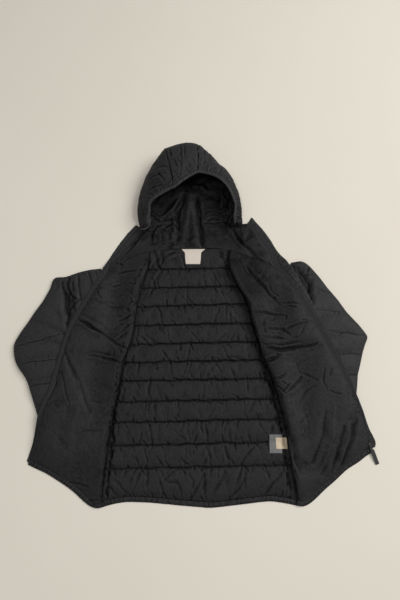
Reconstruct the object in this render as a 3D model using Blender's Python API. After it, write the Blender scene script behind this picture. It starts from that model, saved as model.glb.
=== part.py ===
"""Quilted hooded jacket, laid open on its back with the lining up.

The back lies on the surface. The bent sleeves lie beside it, and each front is folded out over its
sleeve, so that it rolls over at the edge that the back disappears under. The hood stands a little,
with its face opening up. Left and right are the wearer's: the right front lies at -X.

All the tables are in millimetres, X and Y from the middle of the waist, 394 mm below the neck seam.
The last step moves everything so that the origin is under the middle of the footprint.
"""
import math

import bmesh
import bpy
import numpy as np
from mathutils import Matrix, Vector
from mathutils.bvhtree import BVHTree

for old in list(bpy.data.objects):
    bpy.data.objects.remove(old)
JACKET = bpy.data.collections.new("quilted_jacket")
bpy.context.scene.collection.children.link(JACKET)

MM = 0.001
SEAM_GAP = 0.3       # between two pieces that are sewn together
REST_GAP = 0.8       # between a piece and what it lies on
CLOTH_SAG = 0.35     # how much cloth drops at each step of easing it over its bed

CHANNEL_LOFT = 10.0  # a padded channel at its crest
STITCH_LOFT = 3.5    # the same panel where a line of stitches presses it flat
PANEL_LOFT = 9.0     # a padded front away from its edges
EDGE_LOFT = 4.5      # a padded panel at a seamed edge
SLEEVE_LOFT = 25.0   # two padded layers and the slit between them
SLEEVE_SLIT = 3.0    # the flattened hollow of a sleeve
SLEEVE_WALL = 11.0
HOOD_WALL = 6.5
HOOD_SEAM_GAP = 0.6  # wider than a flat seam, where the shell bends
HEM_BAND_WIDTH = 13.0
HEM_BAND_LOFT = 4.5
BINDING_WIDTH = 8.0
BINDING_THICK = 7.0
BINDING_GAP = 0.7    # wider than a seam, where the edge of the face opening bends
BINDING_EASING = 4   # how many times its outward direction is averaged with its neighbours
STRIP_GAP = 1.0      # between a front edge and the strip that is sewn along it
TAPE_WIDTH = 12.0
TAPE_THICK = 1.4
BOUND_TAPE_THICK = 2.4
FLAP_THICK = 3.2
LABEL_THICK = 0.7
LABEL_ROWS = 8
LABEL_REACH = 3.0

NAVY_BLACK = (0.028, 0.029, 0.034)
LINING_BLACK = (0.024, 0.025, 0.030)
TAPE_GREY = (0.060, 0.061, 0.066)
METAL_DARK = (0.050, 0.050, 0.052)
LABEL_WHITE = (0.780, 0.780, 0.770)
LABEL_GREY = (0.420, 0.420, 0.430)
LABEL_CREAM = (0.760, 0.720, 0.660)


# ---------------------------------------------------------------- tables and curves

def table(names, rows):
    """A short table: one array for each column name."""
    columns = np.array(rows, dtype=float).T
    return dict(zip(names.split(), columns))


def points_of(rows, *names):
    """Some columns of a table side by side, as points."""
    return np.stack([rows[name] for name in names], axis=-1)


def spline(points, count):
    """A smooth curve through points, read at count even steps."""
    points = np.asarray(points, dtype=float)
    last = len(points) - 1
    places = np.linspace(0.0, last, count)
    index = np.clip(np.floor(places).astype(int), 0, last - 1)
    f = (places - index)[:, None]
    padded = np.concatenate([[2 * points[0] - points[1]], points, [2 * points[-1] - points[-2]]])
    before = padded[index]
    start = padded[index + 1]
    end = padded[index + 2]
    after = padded[index + 3]
    return 0.5 * (2 * start + (end - before) * f
                  + (2 * before - 5 * start + 4 * end - after) * f ** 2
                  + (3 * start - before - 3 * end + after) * f ** 3)


def smooth_step(value):
    """0 below 0 and 1 above 1, with soft ends."""
    value = np.clip(value, 0.0, 1.0)
    return value * value * (3.0 - 2.0 * value)


# ---------------------------------------------------------------- solids

def cloth(name, colour, roughness=0.62, metallic=0.0):
    """One plain material for one piece."""
    material = bpy.data.materials.new(name)
    material.use_nodes = True
    shader = material.node_tree.nodes["Principled BSDF"]
    shader.inputs["Base Color"].default_value = (*colour, 1.0)
    shader.inputs["Roughness"].default_value = roughness
    shader.inputs["Metallic"].default_value = metallic
    return material


def solid(name, vertices, faces, material):
    """One closed piece from points in millimetres."""
    mesh = bpy.data.meshes.new(name)
    mesh.from_pydata([tuple(float(c) * MM for c in v) for v in vertices], [], faces)
    shape = bmesh.new()
    shape.from_mesh(mesh)
    bmesh.ops.recalc_face_normals(shape, faces=shape.faces)
    if shape.calc_volume(signed=True) < 0.0:
        bmesh.ops.reverse_faces(shape, faces=shape.faces)
    shape.to_mesh(mesh)
    shape.free()
    mesh.shade_smooth()
    mesh.set_sharp_from_angle(angle=math.radians(50.0))
    mesh.materials.append(material)
    piece = bpy.data.objects.new(name, mesh)
    JACKET.objects.link(piece)
    return piece


def grid_faces(rows, columns, start=0, closed=False):
    """Quads over a grid of points, with the last column joined to the first if closed."""
    faces = []
    for i in range(rows - 1):
        for j in range(columns if closed else columns - 1):
            k = (j + 1) % columns
            faces.append((start + i * columns + j, start + i * columns + k,
                          start + (i + 1) * columns + k, start + (i + 1) * columns + j))
    return faces


def border(rows, columns):
    """The indices round the outside of a grid, in order."""
    top = [j for j in range(columns)]
    right = [i * columns + columns - 1 for i in range(1, rows)]
    bottom = [(rows - 1) * columns + j for j in range(columns - 2, -1, -1)]
    left = [i * columns for i in range(rows - 2, 0, -1)]
    return top + right + bottom + left


def wall(name, upper, lower, material):
    """A wall of cloth between two grids of points, closed by a rim all round."""
    rows, columns = upper.shape[:2]
    count = rows * columns
    faces = grid_faces(rows, columns) + grid_faces(rows, columns, count)
    ring = border(rows, columns)
    for a, b in zip(ring, ring[1:] + ring[:1]):
        faces.append((a, b, b + count, a + count))
    vertices = np.concatenate([upper.reshape(-1, 3), lower.reshape(-1, 3)])
    return solid(name, vertices, faces, material)


def slab(name, upper, material):
    """A panel that lies flat on the surface: its top is a grid, its underside one flat face."""
    rows, columns = upper.shape[:2]
    count = rows * columns
    ring = border(rows, columns)
    vertices = list(upper.reshape(-1, 3))
    vertices += [(vertices[k][0], vertices[k][1], 0.0) for k in ring]
    faces = grid_faces(rows, columns)
    for n, a in enumerate(ring):
        m = (n + 1) % len(ring)
        faces.append((a, ring[m], count + m, count + n))
    faces.append(tuple(range(count, count + len(ring))))
    return solid(name, vertices, faces, material)


# ---------------------------------------------------------------- what a piece lies on

class Bed:
    """The pieces already laid down, as heights under the next one."""

    def __init__(self, *pieces):
        self.trees = []
        for piece in pieces:
            mesh = piece.data
            corners = [v.co.copy() for v in mesh.vertices]
            self.trees.append(BVHTree.FromPolygons(corners, [list(p.vertices) for p in mesh.polygons]))

    def height(self, x, y):
        """The top of the bed at one place, in millimetres, and 0 on the bare surface."""
        start = Vector((x * MM, y * MM, 1.0))
        tops = [tree.ray_cast(start, Vector((0.0, 0.0, -1.0)))[0] for tree in self.trees]
        return max([hit.z / MM for hit in tops if hit] + [0.0])

    def under(self, places, reach, passes=12, gap=REST_GAP):
        """Heights that clear the bed within reach of each place, eased like cloth laid over it."""
        turns = [(0.0, 0.0)]
        for k in range(16):
            angle = math.tau * k / 8
            away = reach if k < 8 else reach / 2
            turns.append((away * math.cos(angle), away * math.sin(angle)))
        lowest = np.zeros(places.shape[:2])
        for i, j in np.ndindex(lowest.shape):
            x, y = places[i, j]
            top = max(self.height(x + dx, y + dy) for dx, dy in turns)
            lowest[i, j] = top + gap if top > 0.0 else 0.0
        heights = lowest.copy()
        for _ in range(passes):
            padded = np.pad(heights, 1, mode="edge")
            mean = (padded[:-2, 1:-1] + padded[2:, 1:-1] + padded[1:-1, :-2] + padded[1:-1, 2:]) / 4.0
            heights = np.maximum(lowest, mean - CLOTH_SAG)
        return heights


def with_height(places, heights):
    """Places in the plan lifted to their heights."""
    return np.concatenate([places, heights[..., None]], axis=-1)


def troughs(places, creases):
    """How far a set of creases presses the cloth down at each place."""
    depth = np.zeros(places.shape[:2])
    for x1, y1, x2, y2, deep, half_width in creases:
        start = np.array([x1, y1])
        run = np.array([x2, y2]) - start
        along = ((places - start) @ run) / (run @ run)
        nearest = start + np.clip(along, 0.0, 1.0)[..., None] * run
        away = np.linalg.norm(places - nearest, axis=-1)
        depth += deep * np.exp(-(away / half_width) ** 2)
    return depth


# ---------------------------------------------------------------- back

NECK_RIGHT = (-128.0, 396.0)   # where the neck seam meets the shoulder seams
NECK_LEFT = (70.0, 401.0)
BACK_LOFT_STEPS = (0.0, 0.18, 0.5, 0.82)
BACK_COLUMNS = 24
BACK_SIDE_LOFT = 0.25         # share of the loft that is left at the side seams
BACK_SIDE_FADE = 1.0 / 22.0   # share of the width over which it comes back to full
PUCKER = 0.035                # share of the loft by which the crests of the channels vary
HEM_CORD = ((0.0, 0.75), (0.5, 1.0), (1.0, 0.5))   # share of the band's width, share of its loft

# One row for each line of stitches across the back, from the first below the neck.
BACK_LINES = table("y slope", [
    (337, 0.020), (281, 0.024), (227, 0.030), (171, 0.026), (117, 0.024), (66, 0.022),
    (14, 0.018), (-42, 0.020), (-96, 0.022), (-156, 0.020), (-215, 0.020)])

# The outline of the back at each height: shoulders, armholes, side seams.
BACK_RIGHT_SIDE = table("y x", [(-330, -261), (-200, -266), (0, -276), (120, -281), (318, -285),
                                (396, -128)])
BACK_LEFT_SIDE = table("y x", [(-330, 262), (-200, 267), (0, 277), (125, 283), (285, 269),
                               (401, 70)])

# The hem edge of the back.
HEM_BACK = table("x y", [(-262, -316), (-229, -306), (-190, -301), (-131, -303), (-53, -310),
                         (31, -316), (105, -308), (184, -299), (230, -305), (263, -312)])


def hem_y(x):
    """The hem edge of the back at each x."""
    return np.interp(x, HEM_BACK["x"], HEM_BACK["y"])


def back_row(level, slope):
    """The two ends of a line across the back and the points between them."""
    right_y = level + slope * np.interp(level, BACK_RIGHT_SIDE["y"], BACK_RIGHT_SIDE["x"])
    left_y = level + slope * np.interp(level, BACK_LEFT_SIDE["y"], BACK_LEFT_SIDE["x"])
    right = (np.interp(right_y, BACK_RIGHT_SIDE["y"], BACK_RIGHT_SIDE["x"]), right_y)
    left = (np.interp(left_y, BACK_LEFT_SIDE["y"], BACK_LEFT_SIDE["x"]), left_y)
    return np.linspace(right, left, BACK_COLUMNS)


def back_places():
    """The plan of the back, row by row from the neck, and how far up its channel each row is."""
    neck = np.linspace(NECK_RIGHT, NECK_LEFT, BACK_COLUMNS)
    lines = [back_row(y, slope) for y, slope in zip(BACK_LINES["y"], BACK_LINES["slope"])]
    hem = back_row(-300.0, 0.0)
    hem[:, 1] = hem_y(hem[:, 0]) + HEM_BAND_WIDTH
    lines = [neck] + lines + [hem]
    rows = []
    crests = []
    for upper, lower in zip(lines, lines[1:]):
        for step in BACK_LOFT_STEPS:
            rows.append(upper + (lower - upper) * step)
            crests.append(math.sin(math.pi * step) ** 0.6)
    rows.append(hem)
    crests.append(0.0)
    return np.array(rows), np.array(crests)


def make_back():
    """The quilted back, and the hem band sewn below it."""
    places, crests = back_places()
    across = np.linspace(0.0, 1.0, BACK_COLUMNS)
    side = smooth_step(np.minimum(across, 1.0 - across) / BACK_SIDE_FADE)
    side = BACK_SIDE_LOFT + (1.0 - BACK_SIDE_LOFT) * side
    channel_number = np.arange(len(crests))[:, None] // len(BACK_LOFT_STEPS)
    column_number = np.arange(BACK_COLUMNS)[None, :]
    pucker = 1.0 - PUCKER * (1.0 + np.sin(2.3 * column_number + 1.5 * channel_number))
    loft = (CHANNEL_LOFT - STITCH_LOFT) * crests[:, None] * pucker
    heights = STITCH_LOFT + loft * side[None, :]
    back = slab("back", with_height(places, heights), cloth("back", LINING_BLACK))

    top = places[-1].copy()
    top[:, 1] -= SEAM_GAP
    edge = places[-1].copy()
    edge[:, 1] = hem_y(edge[:, 0])
    band = np.array([top + (edge - top) * step for step, _ in HEM_CORD])
    rise = np.array([[share] * BACK_COLUMNS for _, share in HEM_CORD])
    hem = slab("hem_band_back", with_height(band, HEM_BAND_LOFT * rise),
               cloth("hem_band_back", NAVY_BLACK))
    return back, hem


# ---------------------------------------------------------------- sleeves

# One row for each line of stitches across a sleeve: its outer end, a place on the way and its
# inner end at the underarm or the inner bend, and how much of the full loft the sleeve has there.
SLEEVE_RIGHT = table("out_x out_y mid_x mid_y in_x in_y loft", [
    (-286.6, 337, -284.4, 229, -282.2, 121, 0.80),
    (-334, 329, -312, 270, -284, 118, 0.95),
    (-380, 312, -345, 250, -287, 114, 1.00),
    (-418, 299, -372, 225, -291, 109, 1.00),
    (-452, 240, -392, 190, -299, 100, 1.00),
    (-486, 184, -400, 165, -315, 88, 1.05),
    (-519, 120, -400, 142, -335, 78, 1.05),
    (-515, 66, -405, 83, -348, 70, 1.00),
    (-477, 12, -405, 20, -345, 52, 1.00),
    (-454, -48, -385, -36, -331, 6, 0.95),
    (-431, -108, -370, -92, -314, -52, 0.90),
    (-410, -160, -355, -142, -300, -106, 0.85),
    (-396, -196, -345, -178, -292, -152, 0.70)])
SLEEVE_LEFT = table("out_x out_y mid_x mid_y in_x in_y loft", [
    (264, 356, 274, 241, 284, 126, 0.80),
    (296, 357, 290, 300, 285, 124, 0.95),
    (330, 326, 302, 285, 286, 121, 1.00),
    (364, 279, 313, 275, 288, 117, 1.00),
    (412, 208, 340, 214, 295, 110, 1.00),
    (457, 147, 364, 153, 310, 95, 1.05),
    (452, 88, 380, 88, 322, 72, 1.00),
    (439, 26, 385, 30, 326, 40, 0.95),
    (430, -24, 375, -24, 318, -6, 0.95),
    (420, -80, 368, -78, 310, -62, 0.90),
    (412, -130, 362, -128, 306, -116, 0.85),
    (406, -165, 358, -164, 304, -156, 0.70)])

SLEEVE_TOP = (0.0, 0.035, 0.10, 0.22, 0.38, 0.55, 0.72, 0.86, 0.95, 1.0)
SLEEVE_UNDER = (0.975, 0.88, 0.5, 0.12, 0.025)
SLEEVE_ROWS_PER_CHANNEL = 4
SLEEVE_STITCH_LOFT = 0.86     # share of the full loft at a line of stitches
SLEEVE_END_LOFT = 0.80        # share of the full loft at the armhole and at the cuff
SLEEVE_EDGE_LOFT = 0.38       # share of the full loft at the two long edges
SLEEVE_MIDDLE = 0.32          # height of the slit, as a share of the full loft


def sleeve_sections(rows, count):
    """Sections across a sleeve: outer end, middle, inner end and loft."""
    columns = points_of(rows, "out_x", "out_y", "mid_x", "mid_y", "in_x", "in_y", "loft")
    return spline(columns, count)


def across_section(section, share, inset=0.0):
    """A place across the sleeve, a share of the way from its outer end to its inner end."""
    outer = section[0:2]
    middle = section[2:4]
    inner = section[4:6]
    length = np.linalg.norm(inner - outer)
    share = inset / length + share * (1.0 - 2.0 * inset / length)
    split = np.linalg.norm(middle - outer) / (np.linalg.norm(middle - outer)
                                              + np.linalg.norm(inner - middle))
    weight = share * (1.0 - share) / (2.0 * split * (1.0 - split))
    start_weight = (1.0 - share) - weight * (1.0 - split)
    end_weight = share - weight * split
    return start_weight * outer + weight * middle + end_weight * inner


def make_sleeve(name, rows, hollow):
    """A padded sleeve pressed flat: a tube that is open at the armhole and at the cuff."""
    lines = len(rows["loft"])
    sections = sleeve_sections(rows, (lines - 1) * SLEEVE_ROWS_PER_CHANNEL + 1)
    outside = []
    for k, section in enumerate(sections):
        channel = abs(math.sin(math.pi * k / SLEEVE_ROWS_PER_CHANNEL)) ** 0.6
        end = min(min(k, len(sections) - 1 - k) / 2.0, 1.0)
        full = SLEEVE_LOFT * section[6]
        full *= SLEEVE_STITCH_LOFT + (1.0 - SLEEVE_STITCH_LOFT) * channel
        full *= SLEEVE_END_LOFT + (1.0 - SLEEVE_END_LOFT) * end
        ring = []
        for share in SLEEVE_TOP:
            dome = max(1.0 - abs(2.0 * share - 1.0) ** 3.2, 0.0) ** 0.5
            height = full * (SLEEVE_EDGE_LOFT + (1.0 - SLEEVE_EDGE_LOFT) * dome)
            ring.append((*across_section(section, share), height))
        for share in SLEEVE_UNDER:
            ring.append((*across_section(section, share), 0.0))
        outside.append(ring)
    outside = np.array(outside)
    for x, y, deep, reach in hollow:
        away = np.linalg.norm(outside[..., :2] - (x, y), axis=-1)
        on_top = outside[..., 2] > 0.6 * SLEEVE_LOFT
        outside[..., 2] -= deep * np.exp(-(away / reach) ** 2) * on_top

    inside = []
    for section in sleeve_sections(rows, lines):
        base = SLEEVE_LOFT * section[6] * SLEEVE_MIDDLE
        ring = []
        for share in SLEEVE_TOP:
            open_by = SLEEVE_SLIT * math.sin(math.pi * share) ** 0.5
            ring.append((*across_section(section, share, SLEEVE_WALL), base + open_by / 2))
        for share in SLEEVE_UNDER:
            open_by = SLEEVE_SLIT * math.sin(math.pi * share) ** 0.5
            ring.append((*across_section(section, share, SLEEVE_WALL), base - open_by / 2 - 0.25))
        inside.append(ring)
    inside = np.array(inside)

    rings, points = outside.shape[:2]
    inner_rings = inside.shape[0]
    start = rings * points
    faces = grid_faces(rings, points, closed=True)
    faces += grid_faces(inner_rings, points, start, closed=True)
    for j in range(points):
        k = (j + 1) % points
        faces.append((j, k, start + k, start + j))
        last = (rings - 1) * points
        inner_last = start + (inner_rings - 1) * points
        faces.append((last + j, last + k, inner_last + k, inner_last + j))
    vertices = np.concatenate([outside.reshape(-1, 3), inside.reshape(-1, 3)])
    return solid(name, vertices, faces, cloth(name, NAVY_BLACK))


# ---------------------------------------------------------------- fronts

# One row for each section of a front, from the neck seam down to the hem band: the edge that it
# rolls over at, the seam of its zip, and how far the roll stands above a single layer.
FRONT_RIGHT = table("fold_x fold_y zip_x zip_y roll", [
    (-152, 388, -252, 354.7, 2), (-151, 335, -278, 308, 17), (-166, 284, -303, 266, 20),
    (-178, 231, -323, 228, 20), (-183, 181, -345, 186, 20), (-190, 130, -362, 148, 20),
    (-208, 68, -378, 88, 19), (-216, 19, -392, 26, 18), (-224, -27, -404, -26, 17),
    (-232, -70, -418, -66, 16), (-238, -115, -428, -108, 15), (-243, -165, -436, -145, 13),
    (-249, -215, -443, -172, 10), (-254, -260, -449, -190, 6), (-258, -300, -452, -199, 2)])
FRONT_LEFT = table("fold_x fold_y zip_x zip_y roll", [
    (90, 392.6, 226, 335.8, 2), (84, 340, 262, 282, 20), (104, 284, 286, 241, 25),
    (129, 236, 309, 197, 26), (143, 182, 330, 159, 26), (155, 138, 350, 119, 25),
    (171, 90, 366, 87, 24), (186, 45, 382, 55, 23), (201, 0, 397, 19, 21),
    (214, -48, 410, -15, 19), (226, -98, 421, -45, 17), (234, -148, 432, -80, 14),
    (241, -200, 441, -112, 11), (250, -255, 449, -146, 7), (258, -294, 452, -160, 2)])

# The line that each front is cut to above its hem band, from the roll to the zip.
FRONT_RIGHT_HEM = [(-258, -300), (-275, -303), (-296, -292), (-330, -264), (-372, -238),
                   (-412, -216), (-452, -199)]
FRONT_LEFT_HEM = [(258, -294), (272, -298), (294, -286), (326, -256), (362, -220),
                  (406, -188), (452, -160)]

# The deepest creases: both ends, depth and half width.
CREASES_RIGHT = [(-343, 172, -285, 140, 4.0, 9.0), (-285, 140, -212, 110, 5.0, 9.0),
                 (-305, 82, -220, 60, 5.0, 8.0)]
CREASES_LEFT = [(192, 98, 322, 112, 4.5, 8.0), (238, 154, 296, 172, 3.5, 9.0),
                (150, 200, 228, 192, 3.0, 9.0), (170, 82, 216, 92, 4.0, 9.0),
                (140, 340, 220, 222, 2.5, 14.0), (412, -90, 368, -196, 4.0, 12.0)]

ROLL_OFFSETS = (0.0, 1.5, 5.0, 11.0, 20.0, 33.0, 50.0)
ROLL_REACH = 85.0
FRONT_OUTER_COLUMNS = 8
FRONT_ROWS = 29
FRONT_REACH = 20.0            # a front clears all that lies this near under it
FRONT_HEM_START = 0.62        # share of the length where its rows begin to follow the hem line
ZIP_EDGE_FADE = 24.0          # width over which a front thins towards its zip
FRONT_END_LOFT = {0: 0.45, 1: 0.80, FRONT_ROWS - 2: 0.80, FRONT_ROWS - 1: 0.45}
ROLL_EDGE_LOFT = 0.12         # share of the loft left at the very edge of the roll
CREASE_LIMIT = 0.55           # no crease is deeper than this share of the cloth's thickness


def front_places(rows, hem_line):
    """The plan of a front and the distance of each place from the roll."""
    ends = spline(points_of(rows, "fold_x", "fold_y", "zip_x", "zip_y", "roll"), FRONT_ROWS)
    places = []
    distances = []
    for fold_x, fold_y, zip_x, zip_y, _ in ends:
        width = math.hypot(zip_x - fold_x, zip_y - fold_y)
        outer = np.linspace(ROLL_OFFSETS[-1], width, FRONT_OUTER_COLUMNS + 1)[1:]
        offsets = np.concatenate([ROLL_OFFSETS, outer])
        shares = offsets / width
        line = np.array([(fold_x + (zip_x - fold_x) * s, fold_y + (zip_y - fold_y) * s)
                         for s in shares])
        places.append(line)
        distances.append(offsets)
    places = np.array(places)
    distances = np.array(distances)
    hem = spline(hem_line, 60)
    lengths = np.concatenate([[0.0], np.cumsum(np.linalg.norm(np.diff(hem, axis=0), axis=1))])
    wanted = distances[-1] / distances[-1][-1] * lengths[-1]
    target = np.stack([np.interp(wanted, lengths, hem[:, 0]), np.interp(wanted, lengths, hem[:, 1])],
                      axis=-1)
    shift = target - places[-1]
    along = np.arange(FRONT_ROWS) / (FRONT_ROWS - 1)
    eased = smooth_step((along - FRONT_HEM_START) / (1.0 - FRONT_HEM_START))
    places += eased[:, None, None] * shift[None]
    return places, distances, ends[:, 4]


def make_front(name, rows, hem_line, creases, bed):
    """A front folded open: thick where it rolls over on itself, one layer from there to its zip."""
    places, distances, roll = front_places(rows, hem_line)
    base = bed.under(places, FRONT_REACH)
    width = distances[:, -1:]
    from_zip = smooth_step((width - distances) / ZIP_EDGE_FADE)
    thick = EDGE_LOFT + (PANEL_LOFT - EDGE_LOFT) * from_zip
    thick = thick + roll[:, None] * (1.0 - smooth_step(distances / ROLL_REACH))
    ends = np.array([FRONT_END_LOFT.get(row, 1.0) for row in range(FRONT_ROWS)])
    thick = thick * ends[:, None]
    crease = troughs(places, creases)
    nose_radius = np.maximum(thick[:, :1] / 2.0, 3.0)
    part = 1.0 - np.clip(distances / nose_radius, 0.0, 1.0)
    nose = np.maximum(np.sqrt(1.0 - part ** 2), ROLL_EDGE_LOFT)
    middle = base + thick / 2.0
    upper = middle + nose * thick / 2.0 - np.minimum(crease, CREASE_LIMIT * thick)
    lower = middle - nose * thick / 2.0
    upper_grid = with_height(places, upper)
    piece = wall(name, upper_grid, with_height(places, lower), cloth(name, LINING_BLACK))
    return piece, upper_grid


def make_front_hem(name, upper, outward, bed):
    """The hem band of a front, sewn along its lower edge."""
    row = upper[-1, :, :2]
    run = np.gradient(row, axis=0)
    across = np.stack([run[:, 1], -run[:, 0]], axis=-1) * outward
    across /= np.linalg.norm(across, axis=1)[:, None]
    steps = (SEAM_GAP, HEM_BAND_WIDTH / 2, HEM_BAND_WIDTH)
    places = np.array([row + across * step for step in steps])
    base = bed.under(places, 8.0, passes=4)
    rise = np.array([0.85, 1.0, 0.6])[:, None]
    return wall(name, with_height(places, base + HEM_BAND_LOFT * rise), with_height(places, base),
                cloth(name, NAVY_BLACK))


# ---------------------------------------------------------------- hood

# One row for each section of the hood, from the neck seam over the back of the head to the
# forehead. A section runs from the edge of the face opening, round the fullest place, under the
# head to the seam of the centre strip.
HOOD_RIGHT = table("rim_x rim_y rim_z full_x full_y full_z low_x low_y low_z seam_x seam_y seam_z", [
    (-252, 355, 0, -190, 375, 0, -128, 396, 0, -66, 398, 0),
    (-226, 384, 0, -180, 402, 0, -124, 420, 0, -64, 425, 0),
    (-200, 419, 0, -165, 434, 0, -118, 452, 0, -60, 462, 0),
    (-173, 457, 2, -150, 462, 0, -110, 480, 0, -54, 502, 0),
    (-156, 449, 22, -180, 468, 8, -128, 503, 0, -50, 548, 0),
    (-146, 461, 40, -187, 490, 17, -136, 535, 0, -52, 592, 0),
    (-145, 485, 53, -188, 518, 26, -138, 566, 0, -66, 636, 0),
    (-145, 509, 62, -184, 550, 32, -138, 612, 3, -84, 676, 7),
    (-140, 526, 69, -173, 586, 40, -142, 645, 22, -101, 702, 26),
    (-129, 538, 74, -160, 610, 50, -138, 660, 44, -107, 706, 52),
    (-117, 546, 78, -146, 612, 66, -130, 650, 64, -103, 690, 73),
    (-106, 552, 81, -125, 602, 80, -113, 630, 80, -93, 652, 85),
    (-96, 556, 84, -106, 588, 88, -98, 600, 89, -85, 606, 91),
    (-87, 560, 86, -84, 561, 87, -81, 562, 88, -77, 563, 89)])
HOOD_LEFT = table("rim_x rim_y rim_z full_x full_y full_z low_x low_y low_z seam_x seam_y seam_z", [
    (224, 336.7, 0, 145, 370, 0, 70, 401, 0, 6, 399.4, 0),
    (202, 374, 0, 138, 398, 0, 66, 424, 0, 4, 426, 0),
    (172, 422, 0, 122, 434, 0, 62, 455, 0, 1, 462, 0),
    (140, 478, 3, 106, 470, 0, 60, 486, 0, -3, 502, 0),
    (120, 466, 20, 126, 474, 7, 74, 510, 0, -7, 548, 0),
    (109, 471, 38, 124, 490, 18, 78, 540, 0, -8, 592, 0),
    (107, 488, 51, 124, 510, 28, 80, 572, 0, -4, 636, 0),
    (109, 512, 61, 121, 538, 35, 76, 612, 3, 0, 680, 5),
    (103, 532, 69, 115, 566, 41, 68, 646, 16, 2, 710, 24),
    (93, 554, 76, 104, 594, 50, 54, 660, 38, 0, 720, 50),
    (80, 573, 82, 88, 612, 64, 42, 664, 62, -2, 706, 74),
    (60, 591, 87, 66, 620, 80, 30, 652, 80, -4, 674, 87),
    (36, 602, 90, 40, 621, 89, 18, 634, 90, -5, 640, 92),
    (16, 607, 91, 10, 608, 91, 2, 609, 91, -6, 610, 92)])
HOOD_COLLAR_ROWS = 3          # table rows that lie flat as the collar, below the face opening
HOOD_ROWS_PER_SECTION = 2
HOOD_SIDE_COLUMNS = 10        # three equal stretches between the four places of a section
HOOD_STRIP_COLUMNS = 5
STRIP_CROWN = 3.0
STRIP_CROWN_RISE = 20.0       # height over which the strip comes to its full crown


def hood_side(rows):
    """The outer points of one side of the hood, from the face opening to the centre strip."""
    sections = spline(points_of(rows, *(f"{place}_{axis}" for place in ("rim", "full", "low", "seam")
                                        for axis in "xyz")),
                      (len(rows["rim_x"]) - 1) * HOOD_ROWS_PER_SECTION + 1)
    sections = sections.reshape(-1, 4, 3)
    side = np.array([spline(section, HOOD_SIDE_COLUMNS) for section in sections])
    third = (HOOD_SIDE_COLUMNS - 1) // 3
    for j in range(HOOD_SIDE_COLUMNS):
        a = min(j // third, 2)
        f = j / third - a
        side[0, j] = sections[0, a] * (1.0 - f) + sections[0, a + 1] * f
    side[..., 2] = np.maximum(side[..., 2], 0.0)
    return side


def hood_strip(right_seam, left_seam):
    """The outer points of the centre strip, a little crowned where it stands."""
    steps = np.linspace(0.0, 1.0, HOOD_STRIP_COLUMNS)
    strip = right_seam[:, None] + (left_seam - right_seam)[:, None] * steps[None, :, None]
    stands = smooth_step(right_seam[:, 2:] / STRIP_CROWN_RISE)
    crown = STRIP_CROWN * np.sin(math.pi * steps)[None, :] * stands
    strip[..., 2] += crown
    strip[..., 1] += crown
    return strip


def inward_points(shell, depth):
    """The points of a shell moved in along its normals."""
    down = np.gradient(shell, axis=0)
    across = np.gradient(shell, axis=1)
    normal = np.cross(across, down)
    normal /= np.linalg.norm(normal, axis=-1)[..., None]
    normal[-2:] = normal[-3]
    for _ in range(5):
        padded = np.pad(normal, ((1, 1), (1, 1), (0, 0)), mode="edge")
        normal = (padded[:-2, 1:-1] + padded[2:, 1:-1] + padded[1:-1, :-2] + padded[1:-1, 2:]
                  + 2.0 * normal) / 6.0
        normal /= np.linalg.norm(normal, axis=-1)[..., None]
    normal[0] = (0.0, 0.0, 1.0)
    flat = np.arange(len(shell)) <= HOOD_COLLAR_ROWS * HOOD_ROWS_PER_SECTION - 2
    normal[flat] = (0.0, 0.0, 1.0)
    return shell + normal * depth


def rim_points(shell, first, inset):
    """The points along the face opening, from the right end over the forehead to the left end."""
    strip = slice(HOOD_SIDE_COLUMNS - 1, shell.shape[1] - HOOD_SIDE_COLUMNS + 1)
    return np.concatenate([shell[first:, inset], shell[-1 - inset, strip],
                           shell[first:, -1 - inset][::-1]])


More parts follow.
